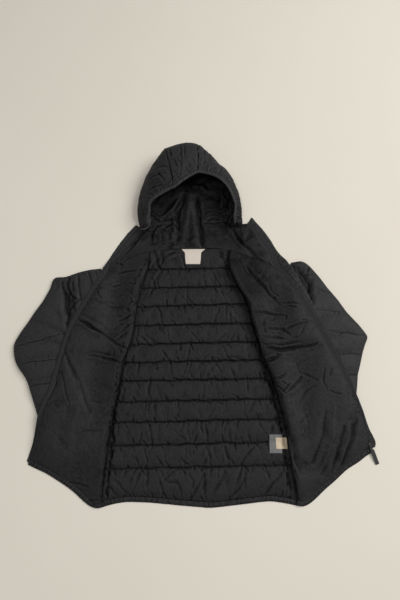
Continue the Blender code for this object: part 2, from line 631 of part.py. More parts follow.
def make_hood():
    """Two sides and a centre strip, cut from one shell, and the binding round the face opening."""
    right = hood_side(HOOD_RIGHT)
    left = hood_side(HOOD_LEFT)
    strip = hood_strip(right[:, -1], left[:, -1])
    shell = np.concatenate([right, strip[:, 1:-1], left[:, ::-1]], axis=1)
    shell[0, :, 1] += SEAM_GAP
    inner = inward_points(shell, HOOD_WALL)
    columns = shell.shape[1]
    right_end = HOOD_SIDE_COLUMNS
    left_start = columns - HOOD_SIDE_COLUMNS
    parts = (("hood_side_right", 0, right_end), ("hood_centre", right_end - 1, left_start + 1),
             ("hood_side_left", left_start, columns))
    pieces = []
    for name, first, end in parts:
        outer_part = shell[:, first:end].copy()
        inner_part = inner[:, first:end].copy()
        if name == "hood_centre":
            for part in (outer_part, inner_part):
                width = np.linalg.norm(part[:, -1] - part[:, 0], axis=-1)[:, None]
                trim = (part[:, -1] - part[:, 0]) / width * HOOD_SEAM_GAP
                part[:, 0] += trim
                part[:, -1] -= trim
        pieces.append(wall(name, inner_part, outer_part, cloth(name, LINING_BLACK)))

    first = (HOOD_COLLAR_ROWS + 1) * HOOD_ROWS_PER_SECTION + 1
    outer_rim = rim_points(shell, first, 0)
    inner_rim = rim_points(inner, first, 0)
    within = (rim_points(shell, first, 1) + rim_points(inner, first, 1)) / 2.0
    middle = (outer_rim + inner_rim) / 2.0
    run = np.gradient(middle, axis=0)
    run /= np.linalg.norm(run, axis=1)[:, None]
    outward = middle - within
    for _ in range(BINDING_EASING):
        outward[1:-1] = (outward[:-2] + outward[1:-1] + outward[2:]) / 3.0
    outward -= run * np.sum(outward * run, axis=1)[:, None]
    outward /= np.linalg.norm(outward, axis=1)[:, None]
    through = np.cross(run, outward)
    through *= np.sign(np.sum(through * (inner_rim - outer_rim), axis=1))[:, None]
    profile = ((0.0, -0.42), (0.5, -0.5), (1.0, -0.22), (1.0, 0.22), (0.5, 0.5), (0.0, 0.42))
    rings = []
    for reach, height in profile:
        rings.append(middle + outward * (BINDING_GAP + BINDING_WIDTH * reach)
                     + through * (BINDING_THICK * height))
    rings = np.stack(rings, axis=1)[1:-1]
    count, sides = rings.shape[:2]
    faces = grid_faces(count, sides, closed=True)
    faces.append(tuple(range(sides)))
    faces.append(tuple((count - 1) * sides + k for k in range(sides)))
    binding = solid("hood_binding", rings.reshape(-1, 3), faces, cloth("hood_binding", TAPE_GREY))
    return pieces + [binding]


# ---------------------------------------------------------------- zip tapes and storm flap

# One row for each place along a front edge, from the top of the collar to the hem: the edge of the
# panel that the strip is sewn to, and the free edge of the strip.
EDGE_RIGHT = table("seam_x seam_y edge_x edge_y", [
    (-173, 457, -195, 470), (-186, 440.7, -208, 453), (-200, 419, -222, 431),
    (-226, 384, -246, 395),
    (-252, 355, -268, 358), (-278, 308, -292, 315), (-303, 266, -316, 273),
    (-323, 228, -336, 234), (-345, 186, -358, 192), (-362, 148, -375, 153),
    (-378, 88, -391, 91), (-392, 26, -405, 29), (-404, -26, -417, -22),
    (-418, -66, -431, -62), (-428, -108, -441, -106), (-436, -145, -449, -144),
    (-443, -172, -455, -172), (-452, -199, -463, -199)])
FLAP_LEFT = table("seam_x seam_y edge_x edge_y", [
    (140, 478, 158, 500), (155.4, 453.8, 174.5, 470.5), (172, 422, 192, 440),
    (202, 374, 222, 386),
    (226, 335.8, 256, 354), (262, 282, 288, 300), (286, 241, 310, 254),
    (309, 197, 333, 200), (330, 159, 350, 160), (350, 119, 368, 121),
    (366, 87, 384, 88), (382, 55, 397, 55), (397, 19, 412, 19),
    (410, -15, 424, -20), (421, -45, 436, -52), (432, -80, 449, -84),
    (441, -112, 459, -114), (449, -146, 467, -142), (452, -160, 464, -158)])
STRIP_ROWS = 35
STRIP_PROFILE = ((0.0, 0.85), (0.5, 1.0), (1.0, 0.7))   # share of the width, share of the thickness
STRIP_REACH = 12.0            # a strip clears all that lies this near under it


def strip_sections(rows):
    """The seam and the free edge along a strip, just clear of the panel."""
    ends = spline(points_of(rows, "seam_x", "seam_y", "edge_x", "edge_y"), STRIP_ROWS)
    seam = ends[:, 0:2]
    edge = ends[:, 2:4]
    across = edge - seam
    across /= np.linalg.norm(across, axis=1)[:, None]
    return seam + across * STRIP_GAP, edge, across


def make_strip(name, seam, edge, bed, thick, colour, reach):
    """A narrow strip of cloth that lies on the bed, from its seam to its free edge."""
    places = np.array([[s + (e - s) * step for step, _ in STRIP_PROFILE] for s, e in zip(seam, edge)])
    base = bed.under(places, reach, passes=4)
    rise = np.array([[share for _, share in STRIP_PROFILE]])
    return wall(name, with_height(places, base + thick * rise), with_height(places, base),
                cloth(name, colour))


# ---------------------------------------------------------------- labels

def make_label(name, corners, bed, colour):
    """A small label that lies on the cloth, given its corners from the upper left, clockwise."""
    upper_left, upper_right, lower_right, lower_left = (np.array(c, dtype=float) for c in corners)
    left = np.linspace(upper_left, lower_left, LABEL_ROWS)
    right = np.linspace(upper_right, lower_right, LABEL_ROWS)
    places = np.array([np.linspace(a, b, LABEL_ROWS) for a, b in zip(left, right)])
    base = bed.under(places, LABEL_REACH, passes=6, gap=SEAM_GAP)
    return wall(name, with_height(places, base + LABEL_THICK), with_height(places, base),
                cloth(name, colour))


NECK_LABEL = ((-53, 392), (12, 393.5), (1, 347), (-46, 349))
CARE_LARGE = ((188, -131), (224, -133), (220, -179), (187, -178))
CARE_SMALL = ((202, -140), (227, -140), (227, -168), (203, -170))


# ---------------------------------------------------------------- zip slider and pull

SLIDER_AT = (458.5, -157.0)       # middle of the slider, on the end of the left zip tape
SLIDER_SIZE = (8.0, 12.0, 4.6)
PULL_HEADING = -70.0              # degrees from +X, the way that the pull points
PULL_LENGTH = 46.0
PULL_WIDTH = 10.0
PULL_THICK = 1.8
PIN_RADIUS = 0.9
EYE_RADIUS = 2.3
EYE_CLEARANCE = 0.35
EYE_WIDTH = 4.4
LUG_THICK = 1.6


def joined(name, target, tools, operation, material):
    """One mesh object from Boolean steps on a copy, so that it is a single closed body."""
    for tool in tools:
        step = target.modifiers.new("join", "BOOLEAN")
        step.operation = operation
        step.object = tool
        bpy.context.view_layer.update()
        result = bpy.data.meshes.new_from_object(
            target.evaluated_get(bpy.context.evaluated_depsgraph_get()))
        target.modifiers.clear()
        target.data = result
    target.name = name
    target.data.materials.clear()
    target.data.materials.append(material)
    return target


def block(name, size, middle):
    """A box with its own size, not scaled, for joining."""
    shape = bmesh.new()
    bmesh.ops.create_cube(shape, size=1.0)
    bmesh.ops.scale(shape, vec=Vector(size) * MM, verts=shape.verts)
    bmesh.ops.translate(shape, vec=Vector(middle) * MM, verts=shape.verts)
    return object_from(shape, name)


def rod(name, radius, length, middle, sides=16):
    """A cylinder along X, for the pin, the eye and its hole."""
    shape = bmesh.new()
    bmesh.ops.create_cone(shape, cap_ends=True, segments=sides, radius1=radius * MM,
                          radius2=radius * MM, depth=length * MM,
                          matrix=Matrix.Rotation(math.radians(90.0), 4, "Y"))
    bmesh.ops.translate(shape, vec=Vector(middle) * MM, verts=shape.verts)
    return object_from(shape, name)


def object_from(shape, name):
    """A linked object from a bmesh."""
    mesh = bpy.data.meshes.new(name)
    shape.to_mesh(mesh)
    shape.free()
    piece = bpy.data.objects.new(name, mesh)
    JACKET.objects.link(piece)
    return piece


def discard(tools):
    """Remove the shapes that were only joined or cut with."""
    for tool in tools:
        bpy.data.objects.remove(tool)


def make_slider_and_pull(bed):
    """The slider at the foot of the zip, with the pin that its pull swings on."""
    width, length, height = SLIDER_SIZE
    turn = Matrix.Rotation(math.radians(PULL_HEADING - 90.0), 4, "Z")
    footprint = [turn @ Vector((width * u, length * v, 0.0)) for u in (-0.5, 0.0, 0.5)
                 for v in (-0.5, -0.25, 0.0, 0.25, 0.5)]
    seat = max(bed.height(SLIDER_AT[0] + place.x, SLIDER_AT[1] + place.y) for place in footprint)
    seat += SEAM_GAP
    pin_y = length / 2 + EYE_RADIUS + 0.6
    pin_z = EYE_RADIUS + 0.4
    body = block("slider_body", SLIDER_SIZE, (0.0, 0.0, height / 2))
    lugs = []
    for sign in (-1, 1):
        x = sign * (EYE_WIDTH / 2 + EYE_CLEARANCE + LUG_THICK / 2)
        lug_length = pin_y + PIN_RADIUS + 1.0 - length / 2 + 2.0
        lugs.append(block("lug", (LUG_THICK, lug_length, 3.6),
                          (x, length / 2 - 2.0 + lug_length / 2, pin_z)))
    pin = rod("pin", PIN_RADIUS, EYE_WIDTH + 2 * EYE_CLEARANCE + LUG_THICK, (0.0, pin_y, pin_z))
    slider = joined("zip_slider", body, lugs + [pin], "UNION",
                    cloth("zip_slider", METAL_DARK, 0.35, 0.9))
    discard(lugs + [pin])

    eye = rod("eye", EYE_RADIUS, EYE_WIDTH, (0.0, pin_y, pin_z), 20)
    neck = block("neck", (EYE_WIDTH, 6.0, PULL_THICK), (0.0, pin_y + EYE_RADIUS + 2.0, pin_z))
    tab_start = pin_y + EYE_RADIUS + 4.0
    tab = block("tab", (PULL_WIDTH, PULL_LENGTH - 6.0, PULL_THICK),
                (0.0, tab_start + (PULL_LENGTH - 6.0) / 2, pin_z))
    hole = rod("hole", PIN_RADIUS + EYE_CLEARANCE, EYE_WIDTH + 2.0, (0.0, pin_y, pin_z))
    pull = joined("zip_pull", eye, [neck, tab], "UNION", cloth("zip_pull", TAPE_GREY))
    pull = joined("zip_pull", pull, [hole], "DIFFERENCE", cloth("zip_pull", TAPE_GREY))
    discard([neck, tab, hole])

    place = Matrix.Translation(Vector((SLIDER_AT[0], SLIDER_AT[1], seat)) * MM) @ turn
    axis_point = Vector((0.0, pin_y, pin_z)) * MM
    droop = math.asin(max(seat + pin_z - PULL_THICK / 2, 0.0) / (PULL_LENGTH + EYE_RADIUS + 2.0))
    swing = (Matrix.Translation(axis_point) @ Matrix.Rotation(-droop, 4, "X")
             @ Matrix.Translation(-axis_point))
    slider.data.transform(place)
    pull.data.transform(place @ swing)
    hinge = place @ axis_point
    pull.data.transform(Matrix.Translation(-hinge))
    pull.location = hinge
    return slider, pull


# ---------------------------------------------------------------- the jacket

back, hem_back = make_back()
sleeve_right = make_sleeve("sleeve_right", SLEEVE_RIGHT,
                           [(-402, 258, 8, 26), (-388, 205, 9, 24), (-350, 285, 4, 18)])
sleeve_left = make_sleeve("sleeve_left", SLEEVE_LEFT, [(300, 322, 8, 18), (310, 278, 8, 18)])
hood = make_hood()
lower_bed = Bed(back, hem_back, sleeve_right, sleeve_left)

front_right, right_upper = make_front("front_right", FRONT_RIGHT, FRONT_RIGHT_HEM, CREASES_RIGHT,
                                      lower_bed)
front_left, left_upper = make_front("front_left", FRONT_LEFT, FRONT_LEFT_HEM, CREASES_LEFT,
                                    lower_bed)
hem_right = make_front_hem("hem_band_right", right_upper, -1.0, lower_bed)
hem_left = make_front_hem("hem_band_left", left_upper, 1.0, lower_bed)

seam, edge, across = strip_sections(EDGE_RIGHT)
tape_right = make_strip("zip_tape_right", seam, edge, lower_bed, BOUND_TAPE_THICK, TAPE_GREY,
                        STRIP_REACH)
seam, edge, across = strip_sections(FLAP_LEFT)
flap = make_strip("storm_flap", seam, edge, lower_bed, FLAP_THICK, NAVY_BLACK, STRIP_REACH)
tape_left = make_strip("zip_tape_left", seam + across * STRIP_GAP / 2.0, seam + across * TAPE_WIDTH,
                       Bed(flap, sleeve_left), TAPE_THICK, TAPE_GREY, STRIP_REACH / 4.0)

neck_label = make_label("neck_label", NECK_LABEL, Bed(back), LABEL_WHITE)
care_large = make_label("care_label_large", CARE_LARGE, Bed(back), LABEL_GREY)
care_small = make_label("care_label_small", CARE_SMALL, Bed(back, care_large), LABEL_CREAM)
slider, pull = make_slider_and_pull(Bed(flap, tape_left, front_left))

lowest = Vector((math.inf, math.inf, math.inf))
highest = -lowest
bpy.context.view_layer.update()
for piece in JACKET.objects:
    for vertex in piece.data.vertices:
        place = piece.matrix_world @ vertex.co
        lowest = Vector(map(min, lowest, place))
        highest = Vector(map(max, highest, place))
middle = (lowest + highest) / 2
for piece in JACKET.objects:
    piece.location -= Vector((middle.x, middle.y, 0.0))
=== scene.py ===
import math

import bmesh
import bpy
import numpy as np
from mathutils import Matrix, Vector
from mathutils.bvhtree import BVHTree


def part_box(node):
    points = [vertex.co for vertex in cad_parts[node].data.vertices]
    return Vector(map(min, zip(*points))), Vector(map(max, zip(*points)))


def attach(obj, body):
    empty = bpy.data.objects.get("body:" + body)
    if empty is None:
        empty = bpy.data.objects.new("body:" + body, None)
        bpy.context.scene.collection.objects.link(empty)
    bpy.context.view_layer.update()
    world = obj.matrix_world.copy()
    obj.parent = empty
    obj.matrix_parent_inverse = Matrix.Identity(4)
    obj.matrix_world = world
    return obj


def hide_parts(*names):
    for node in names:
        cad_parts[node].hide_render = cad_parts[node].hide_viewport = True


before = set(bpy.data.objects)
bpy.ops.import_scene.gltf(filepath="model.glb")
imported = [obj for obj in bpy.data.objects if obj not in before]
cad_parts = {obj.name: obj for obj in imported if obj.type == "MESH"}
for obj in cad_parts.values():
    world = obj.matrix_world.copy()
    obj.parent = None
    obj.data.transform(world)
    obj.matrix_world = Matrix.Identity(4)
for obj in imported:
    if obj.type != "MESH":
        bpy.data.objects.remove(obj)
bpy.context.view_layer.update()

# ------------------------------------------------------------------ floor, light and camera
# A plain pale floor, a big soft lamp to the upper right of the jacket and soft light all round.
# The camera looks down from over the jacket's waist, tilted a little towards the hood.

MM = 0.001
BODY = "jacket"
scene = bpy.context.scene

# X and Y of every table below are in millimetres from the middle of the jacket's waist, which
# lies this far from the corner of the back's hem.
hem_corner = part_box("hem_band_back")[0]
WAIST = np.array([hem_corner.x + 0.26215, hem_corner.y + 0.316, 0.0])

FLOOR_SIZE = 9.0
FLOOR_DROP = 0.0004   # how far the floor lies under the jacket
ROOM_LIGHT = 0.31
CAMERA_HEIGHT = 1.145
CAMERA_TILT = 12.0


def set_down(name, data):
    """A new object in the scene."""
    made = bpy.data.objects.new(name, data)
    scene.collection.objects.link(made)
    return made


class Wire:
    """A socket inside a finish. Sums and products of wires add Math nodes."""

    def __init__(self, finish, socket):
        self.finish = finish
        self.socket = socket

    def math(self, operation, first, second):
        return self.finish.node("ShaderNodeMath", {"operation": operation}, {0: first, 1: second})

    def __add__(self, other):
        return self.math("ADD", self, other)

    def __radd__(self, other):
        return self.math("ADD", other, self)

    def __sub__(self, other):
        return self.math("SUBTRACT", self, other)

    def __rsub__(self, other):
        return self.math("SUBTRACT", other, self)

    def __mul__(self, other):
        return self.math("MULTIPLY", self, other)

    def __rmul__(self, other):
        return self.math("MULTIPLY", other, self)


class Finish:
    """A material: one Principled shader, its constants, and the nodes that feed it."""

    def __init__(self, name, **constants):
        self.material = bpy.data.materials.new(name)
        self.material.use_nodes = True
        self.tree = self.material.node_tree
        self.shader = self.tree.nodes["Principled BSDF"]
        for socket, value in constants.items():
            self.shader.inputs[socket.replace("_", " ")].default_value = value

    def node(self, kind, settings, sockets, out=0):
        """Any node: its settings first, then the values or wires of its sockets."""
        made = self.tree.nodes.new(kind)
        for key, value in settings.items():
            if key == "stops":
                ramp = made.color_ramp
                while len(ramp.elements) < len(value):
                    ramp.elements.new(0.5)
                for stop, (place, shade) in zip(ramp.elements, value):
                    stop.position = place
                    stop.color = (*shade, 1.0)
            else:
                setattr(made, key, value)
        for key, value in sockets.items():
            if isinstance(value, Wire):
                self.tree.links.new(value.socket, made.inputs[key])
            else:
                made.inputs[key].default_value = value
        return Wire(self, made.outputs[out])

    def feed(self, socket, wire):
        self.tree.links.new(wire.socket, self.shader.inputs[socket])

    def place(self):
        """Where a point of the surface is, in metres."""
        return self.node("ShaderNodeTexCoord", {}, {}, out=3)

    def cloudy(self, scale, detail=2.0, rough=0.5):
        """Soft noise from 0 to 1, whose spots are about 1/scale metres wide."""
        return self.node("ShaderNodeTexNoise", {}, {"Vector": self.place(), "Scale": scale,
                                                    "Detail": detail, "Roughness": rough})

    def crumpled(self, scale, bend=0.25):
        """Flat facets that meet in fine ridges, about 1/scale metres wide."""
        where = self.place()
        drift = self.node("ShaderNodeTexNoise", {}, {"Vector": where, "Scale": scale * 0.8}, out=1)
        moved = self.node("ShaderNodeVectorMath", {"operation": "MULTIPLY_ADD"},
                          {0: drift, 1: (bend / scale * 4.0,) * 3, 2: where})
        return self.node("ShaderNodeTexVoronoi", {"feature": "F1"}, {"Vector": moved, "Scale": scale})

    def shades(self, mask, *stops):
        """A colour from a mask between 0 and 1, by stops of a place and a colour."""
        return self.node("ShaderNodeValToRGB", {"stops": stops}, {0: mask})

    def relief(self, height, depth, under=None):
        """A bump from a height between 0 and 1, depth metres deep."""
        sockets = {"Height": height, "Distance": depth, "Strength": 1.0}
        if under:
            sockets["Normal"] = under
        return self.node("ShaderNodeBump", {}, sockets)


floor_finish = Finish("pale_floor", Roughness=0.85, Specular_IOR_Level=0.2)
floor_finish.feed("Base Color", floor_finish.shades(floor_finish.cloudy(1.1, 3.0),
                                                    (0.3, (0.560, 0.525, 0.458)),
                                                    (0.7, (0.582, 0.549, 0.484))))
floor_finish.feed("Normal", floor_finish.relief(floor_finish.cloudy(240.0, 4.0), 0.0001))
bpy.ops.mesh.primitive_plane_add(size=FLOOR_SIZE, location=(0.0, 0.0, -FLOOR_DROP))
floor = bpy.context.object
floor.name = "floor"
floor.data.materials.append(floor_finish.material)

world = bpy.data.worlds.new("room")
scene.world = world
world.use_nodes = True
background = world.node_tree.nodes["Background"]
background.inputs["Color"].default_value = (1.0, 0.99, 0.98, 1.0)
background.inputs["Strength"].default_value = ROOM_LIGHT


def lamp(name, place, aim, size, power, colour):
    """A square soft lamp that points at a place on the floor."""
    light = bpy.data.lights.new(name, "AREA")
    light.shape = "SQUARE"
    light.size = size
    light.energy = power
    light.color = colour
    holder = set_down(name, light)
    holder.location = place
    holder.rotation_euler = (Vector(aim) - Vector(place)).to_track_quat("-Z", "Y").to_euler()


lamp("window", (3.0, 1.05, 3.4), (0.15, 0.0, 0.0), 2.6, 208.0, (1.0, 0.995, 0.985))
lamp("ceiling", (-0.4, -0.6, 2.9), (-0.1, 0.1, 0.0), 1.0, 27.0, (1.0, 0.99, 0.98))
scene.view_settings.view_transform = "Standard"

camera = set_down("camera", bpy.data.cameras.new("camera"))
camera.location = (WAIST[0], WAIST[1], CAMERA_HEIGHT)
camera.rotation_euler = (math.radians(CAMERA_TILT), 0.0, 0.0)
camera.data.lens = 24.0
camera.data.sensor_width = 36.0
scene.camera = camera

# ------------------------------------------------------------------ back
# The quilted back, lining side up: thin nylon stitched through the padding in twelve channels.
# The lining is a little longer than its stitches, so that it puckers along them.


def nylon(name, valley, plain, ridge, gloss):
    """Thin, closely woven nylon with fine crinkles, darker in its folds by painted shade and lighter
    on its ridges by painted highlight.
    """
    finish = Finish(name, Specular_IOR_Level=gloss)
    folds = finish.node("ShaderNodeAttribute", {"attribute_name": "folds"}, {}, out=2)
    # The colour mixes painted shade in folds and painted highlight on ridges with a random mottle of
    # the cloth's own tone.
    fold_shade_and_mottling = folds + 0.05 * (finish.cloudy(26.0, 3.0) - 0.5)
    fold_shade_and_mottling = fold_shade_and_mottling + 0.7 * (finish.cloudy(210.0, 2.0) - 0.5)
    finish.feed("Base Color", finish.shades(fold_shade_and_mottling, (0.0, valley), (0.5, plain), (1.0, ridge)))
    finish.feed("Roughness", 0.56 + 0.16 * finish.cloudy(60.0, 4.0))
    large = finish.relief(finish.crumpled(42.0), 0.0010)
    small = finish.relief(finish.crumpled(130.0), 0.00052, large)
    finish.feed("Normal", finish.relief(finish.cloudy(1500.0, 1.0), 0.00007, small))
    return finish


LINING = nylon("lining_nylon", (0.0005, 0.0005, 0.0007), (0.0099, 0.0098, 0.0108),
               (0.0195, 0.0194, 0.0210), 0.14)
THREAD = Finish("sewing_thread", Base_Color=(0.0035, 0.0035, 0.0040, 1.0), Roughness=0.7,
                Specular_IOR_Level=0.2)


def table(names, rows):
    """A short table: one array for each column name."""
    return dict(zip(names.split(), np.array(rows, dtype=float).T))


def spline(points, count):
    """A smooth curve through points, read at count even steps."""
    points = np.asarray(points, dtype=float)
    last = len(points) - 1
    places = np.linspace(0.0, last, count)
    index = np.clip(np.floor(places).astype(int), 0, last - 1)
    f = (places - index)[:, None]
    padded = np.concatenate([[2 * points[0] - points[1]], points, [2 * points[-1] - points[-2]]])
    before, start, end, after = (padded[index + k] for k in range(4))
    return 0.5 * (2 * start + (end - before) * f
                  + (2 * before - 5 * start + 4 * end - after) * f ** 2
                  + (3 * start - before - 3 * end + after) * f ** 3)


def smooth_step(value):
    """0 below 0 and 1 above 1, with soft ends."""
    value = np.clip(value, 0.0, 1.0)
    return value * value * (3.0 - 2.0 * value)


def ripple(points, seed, wavelength, waves=26):
    """Smooth uneven noise of about -1 to 1 over the cloth, the same each time."""
    draw = np.random.default_rng(seed)
    total = np.zeros(points.shape[:-1])
    for _ in range(waves):
        angle = draw.uniform(0.0, math.tau)
        length = wavelength * draw.uniform(0.7, 1.8)
        run = np.array([math.cos(angle), math.sin(angle)]) * math.tau / length
        total += np.sin(points[..., :2] @ run + draw.uniform(0.0, math.tau))
    return total / math.sqrt(waves)


def normals_of(points, quads):
    """The direction that the surface faces at each point."""
    across = points[quads[:, 2]] - points[quads[:, 0]]
    down = points[quads[:, 3]] - points[quads[:, 1]]
    face = np.cross(across, down)
    total = np.zeros_like(points)
    for k in range(4):
        for axis in range(3):
            total[:, axis] += np.bincount(quads[:, k], face[:, axis], len(points))
    return total / np.maximum(np.linalg.norm(total, axis=1), 1e-9)[:, None]


def from_line(points, line):
    """How far each point lies from a line in the plan, and how far along it, in millimetres."""
    best = np.full(len(points), np.inf)
    along = np.zeros(len(points))
    start = 0.0
    for here, there in zip(line, line[1:]):
        run = there - here
        length = max(np.linalg.norm(run), 1e-6)
        share = np.clip((points[:, :2] - here) @ run / length ** 2, 0.0, 1.0)
        away = np.linalg.norm(points[:, :2] - here - share[:, None] * run, axis=1)
        nearer = away < best
        best[nearer] = away[nearer]
        along[nearer] = start + share[nearer] * length
        start += length
    return best, along / start


def far_along(line):
    """How far each point of a line lies from its start."""
    return np.concatenate([[0.0], np.cumsum(np.linalg.norm(np.diff(line, axis=0), axis=1))])


def points_at(places, line, far):
    """The points of a line that lie some places along it."""
    return np.stack([np.interp(places, far, column) for column in line.T], axis=-1)


def folded(points, folds):
    """How far folds lift the cloth. Each has a rise, negative for a crease, a half width and its
    places in the plan. It is deepest in its middle, and the cloth beside it swells the other way."""
    change = np.zeros(len(points))
    uneven = points[:, :2] + 1.3 * np.stack([ripple(points, 5, 48.0), ripple(points, 6, 48.0)], 1)
    for rise, wide, *line in folds:
        line = np.asarray(line, dtype=float)
        path = spline(line, 5 * len(line)) if len(line) > 2 else line
        inside = (points[:, :2] > path.min(axis=0) - 4.0 * wide)
        inside &= (points[:, :2] < path.max(axis=0) + 4.0 * wide)
        near = np.flatnonzero(inside.all(axis=1))
        if len(near):
            away, along = from_line(uneven[near], path)
            fade = np.sin(math.pi * np.clip(0.06 + 0.88 * along, 0.0, 1.0)) ** 0.6
            fade = fade * (1.0 + 0.25 * np.sin(along * 9.0 + rise * 40.0))
            reach = away / (wide * (0.6 + 0.4 * fade))
            shape = np.exp(-reach ** 1.3) - 0.16 * np.exp(-((reach - 2.2) / 0.9) ** 2)
            change[near] += rise * fade * shape
    return change


def crinkles(corners, count, size, wide, deep, lean, seed):
    """Short faint creases strewn over an area, as folds: how many, their half length, half width,
    depth and mostly which way they lean, in degrees."""
    draw = np.random.default_rng(seed)
    folds = []
    for _ in range(count):
        middle = draw.uniform(corners[0], corners[1])
        turn = math.radians(lean + draw.normal(0.0, 26.0))
        reach = np.array([math.cos(turn), math.sin(turn)]) * size * draw.uniform(0.3, 1.0)
        bend = middle + np.array([-reach[1], reach[0]]) * draw.normal(0.0, 0.2)
        folds.append((deep * draw.choice((-1.0, -0.7, 0.6)) * draw.uniform(0.4, 1.3),
                      wide * draw.uniform(0.6, 1.6), middle - reach, bend, middle + reach))
    return folds


def tucks(lines, spacing, size, wide, deep, lean, seed):
    """Short slanting creases on both sides of lines of stitches, as folds: how far apart, their
    length, half width, depth and how far they lean from square to the line, in degrees."""
    draw = np.random.default_rng(seed)
    folds = []
    for line in lines:
        line = np.asarray(line, dtype=float)
        far = far_along(line)
        place = draw.uniform(0.0, spacing)
        while place < far[-1]:
            start = points_at(place, line, far)
            side = draw.choice((-1.0, 1.0))
            turn = math.radians(90.0 * side + lean + draw.normal(0.0, 24.0))
            heading = np.array([math.cos(turn), math.sin(turn)])
            length = size * draw.uniform(0.5, 1.6)
            folds.append((-deep * draw.uniform(0.35, 1.3), wide * draw.uniform(0.75, 1.3),
                          start - heading * 0.2 * length, start + heading * length))
            place += spacing * draw.uniform(0.35, 1.7)
    return folds


def read(items, name, width=3, kind=float):
    """One value of every point, edge or corner of a mesh, as an array."""
    values = np.zeros(len(items) * width, dtype=kind)
    items.foreach_get(name, values)
    return values.reshape(-1, width)


def with_modifiers(holder):
    """An object's mesh as its modifiers leave it."""
    return holder.evaluated_get(bpy.context.evaluated_depsgraph_get()).to_mesh()


SETTLE_STEPS = 18
SETTLE_START = 0.15   # how unevenly the cloth starts, so that it can buckle


def settle(points, quads, hold, slack, swell, loose=None, bend=0.3, seed=1):
    """Blender's cloth lets the slack cloth between its seams buckle. hold is 1 at a seam and 0 on
    free cloth; slack is how much longer the cloth is than its seams, where loose is 0 and 1."""
    kept = quads[(hold[quads] < 1.0).any(axis=1)]
    used, flat = np.unique(kept, return_inverse=True)
    draw = np.random.default_rng(seed)
    uneven = draw.normal(0.0, SETTLE_START, (len(used), 1))
    start = points[used] + normals_of(points, quads)[used] * uneven
    mesh = bpy.data.meshes.new("loose_cloth")
    mesh.from_pydata((start * MM).tolist(), [], flat.reshape(-1, 4).tolist())
    holder = set_down("loose_cloth", mesh)
    for group_name, weights in (("seams", hold), ("slack", loose)):
        if weights is not None:
            group = holder.vertex_groups.new(name=group_name)
            for k, weight in enumerate(np.round(weights[used], 2)):
                group.add([k], float(weight), "REPLACE")
    cloth = holder.modifiers.new("cloth", "CLOTH")
    ways = cloth.settings
    ways.quality = 4
    ways.mass = 0.1
    ways.air_damping = 5.0
    ways.tension_stiffness = ways.compression_stiffness = 15.0
    ways.shear_stiffness = 5.0
    ways.bending_stiffness = bend
    ways.bending_model = "ANGULAR"
    ways.vertex_group_mass = "seams"
    ways.shrink_min = -slack[0]
    if loose is not None:
        ways.vertex_group_shrink = "slack"
        ways.shrink_max = -slack[1]
    ways.effector_weights.gravity = 0.0
    ways.use_pressure = swell != 0.0
    ways.uniform_pressure_force = swell
    cloth.collision_settings.use_collision = False
    cloth.point_cache.frame_start = 1
    cloth.point_cache.frame_end = SETTLE_STEPS
    for step in range(1, SETTLE_STEPS + 1):
        scene.frame_set(step)
    result = points.copy()
    result[used] = read(with_modifiers(holder).vertices, "co") / MM
    bpy.data.objects.remove(holder)
    bpy.data.meshes.remove(mesh)
    scene.frame_set(1)
    return result


def limited(before, after, quads, inward, outward):
    """Keeps cloth from sinking more than inward, or standing more than outward, from its solid."""
    normal = normals_of(before, quads)
    rise = np.sum((after - before) * normal, axis=1)
    kept = np.where(rise < 0.0, -inward * np.tanh(-rise / inward), outward * np.tanh(rise / outward))
    return after + normal * (kept - rise)[:, None]


def smoother(mesh, levels):
    """The points, in millimetres, and the quads of a mesh made finer by subdivision."""
    holder = set_down("cage", mesh)
    smooth = holder.modifiers.new("smooth", "SUBSURF")
    smooth.levels = levels
    smooth.render_levels = levels
    fine = with_modifiers(holder)
    points = read(fine.vertices, "co")
    quads = read(fine.loops, "vertex_index", 1, int).reshape(-1, 4)
    bpy.data.objects.remove(holder)
    bpy.data.meshes.remove(mesh)
    return (points - WAIST) / MM, quads


def mesh_of(name, points, quads):
    """A mesh from points in millimetres."""
    mesh = bpy.data.meshes.new(name)
    mesh.from_pydata((points * MM + WAIST).tolist(), [], quads.tolist())
    return mesh


def finer(points, quads):
    """The same cloth with four quads for each."""
    return smoother(mesh_of("cage", points, quads), 1)


def crisper(folds, deeper, narrower):
    """The same folds, deeper and narrower."""
    return [(deeper * rise, narrower * wide, *line) for rise, wide, *line in folds]


def eased(values, edges, times):
    """Values averaged with their neighbours."""
    ends = np.concatenate([edges[:, 0], edges[:, 1]])
    others = np.concatenate([edges[:, 1], edges[:, 0]])
    many = np.maximum(np.bincount(ends, minlength=len(values)), 1)
    for _ in range(times):
        mean = [np.bincount(ends, values[others, k], len(values)) / many for k in range(3)]
        values = (values + np.stack(mean, axis=1)) / 2.0
    return values


FINE_FOLD = 0.18   # how deep a short fold and a wide one are where their painted shade is nearly darkest
BROAD_FOLD = 4.0


def paint_fold_shade(mesh, shaded=0.0):
    """Stores painted fold shade, 0 deep in a fold, and painted highlight, 1 on a ridge; flat cloth
    has 0.5. Sides that don't face up get painted shade too, and shaded adds more.
    """
    points = read(mesh.vertices, "co") / MM
    normal = read(mesh.vertex_normals, "vector")
    edges = read(mesh.edges, "vertices", 2, int)
    near = eased(points, edges, 3)
    far = eased(near, edges, 22)
    depth = np.sum((near - points) * normal, axis=1) / FINE_FOLD
    depth += np.sum((far - near) * normal, axis=1) / BROAD_FOLD
    open_side = smooth_step(normal[:, 2] * 2.2 - 0.6)
    # painted shade in creases and on sides that don't face up, painted highlight on ridges
    shade = np.where(depth > 0.0, 0.5 - 0.5 * np.tanh(depth), 0.5 - 0.12 * open_side * np.tanh(depth))
    shade -= 0.36 * (1.0 - open_side) + shaded
    mesh.attributes.new("folds", "FLOAT", "POINT").data.foreach_set("value", shade)


def sewn_piece(mesh, finish, shaded=0.0):
    """A finished piece of the jacket from its mesh."""
    mesh.shade_smooth()
    mesh.materials.append(finish.material)
    paint_fold_shade(mesh, shaded)
    piece = set_down(mesh.name, mesh)
    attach(piece, BODY)
    return piece


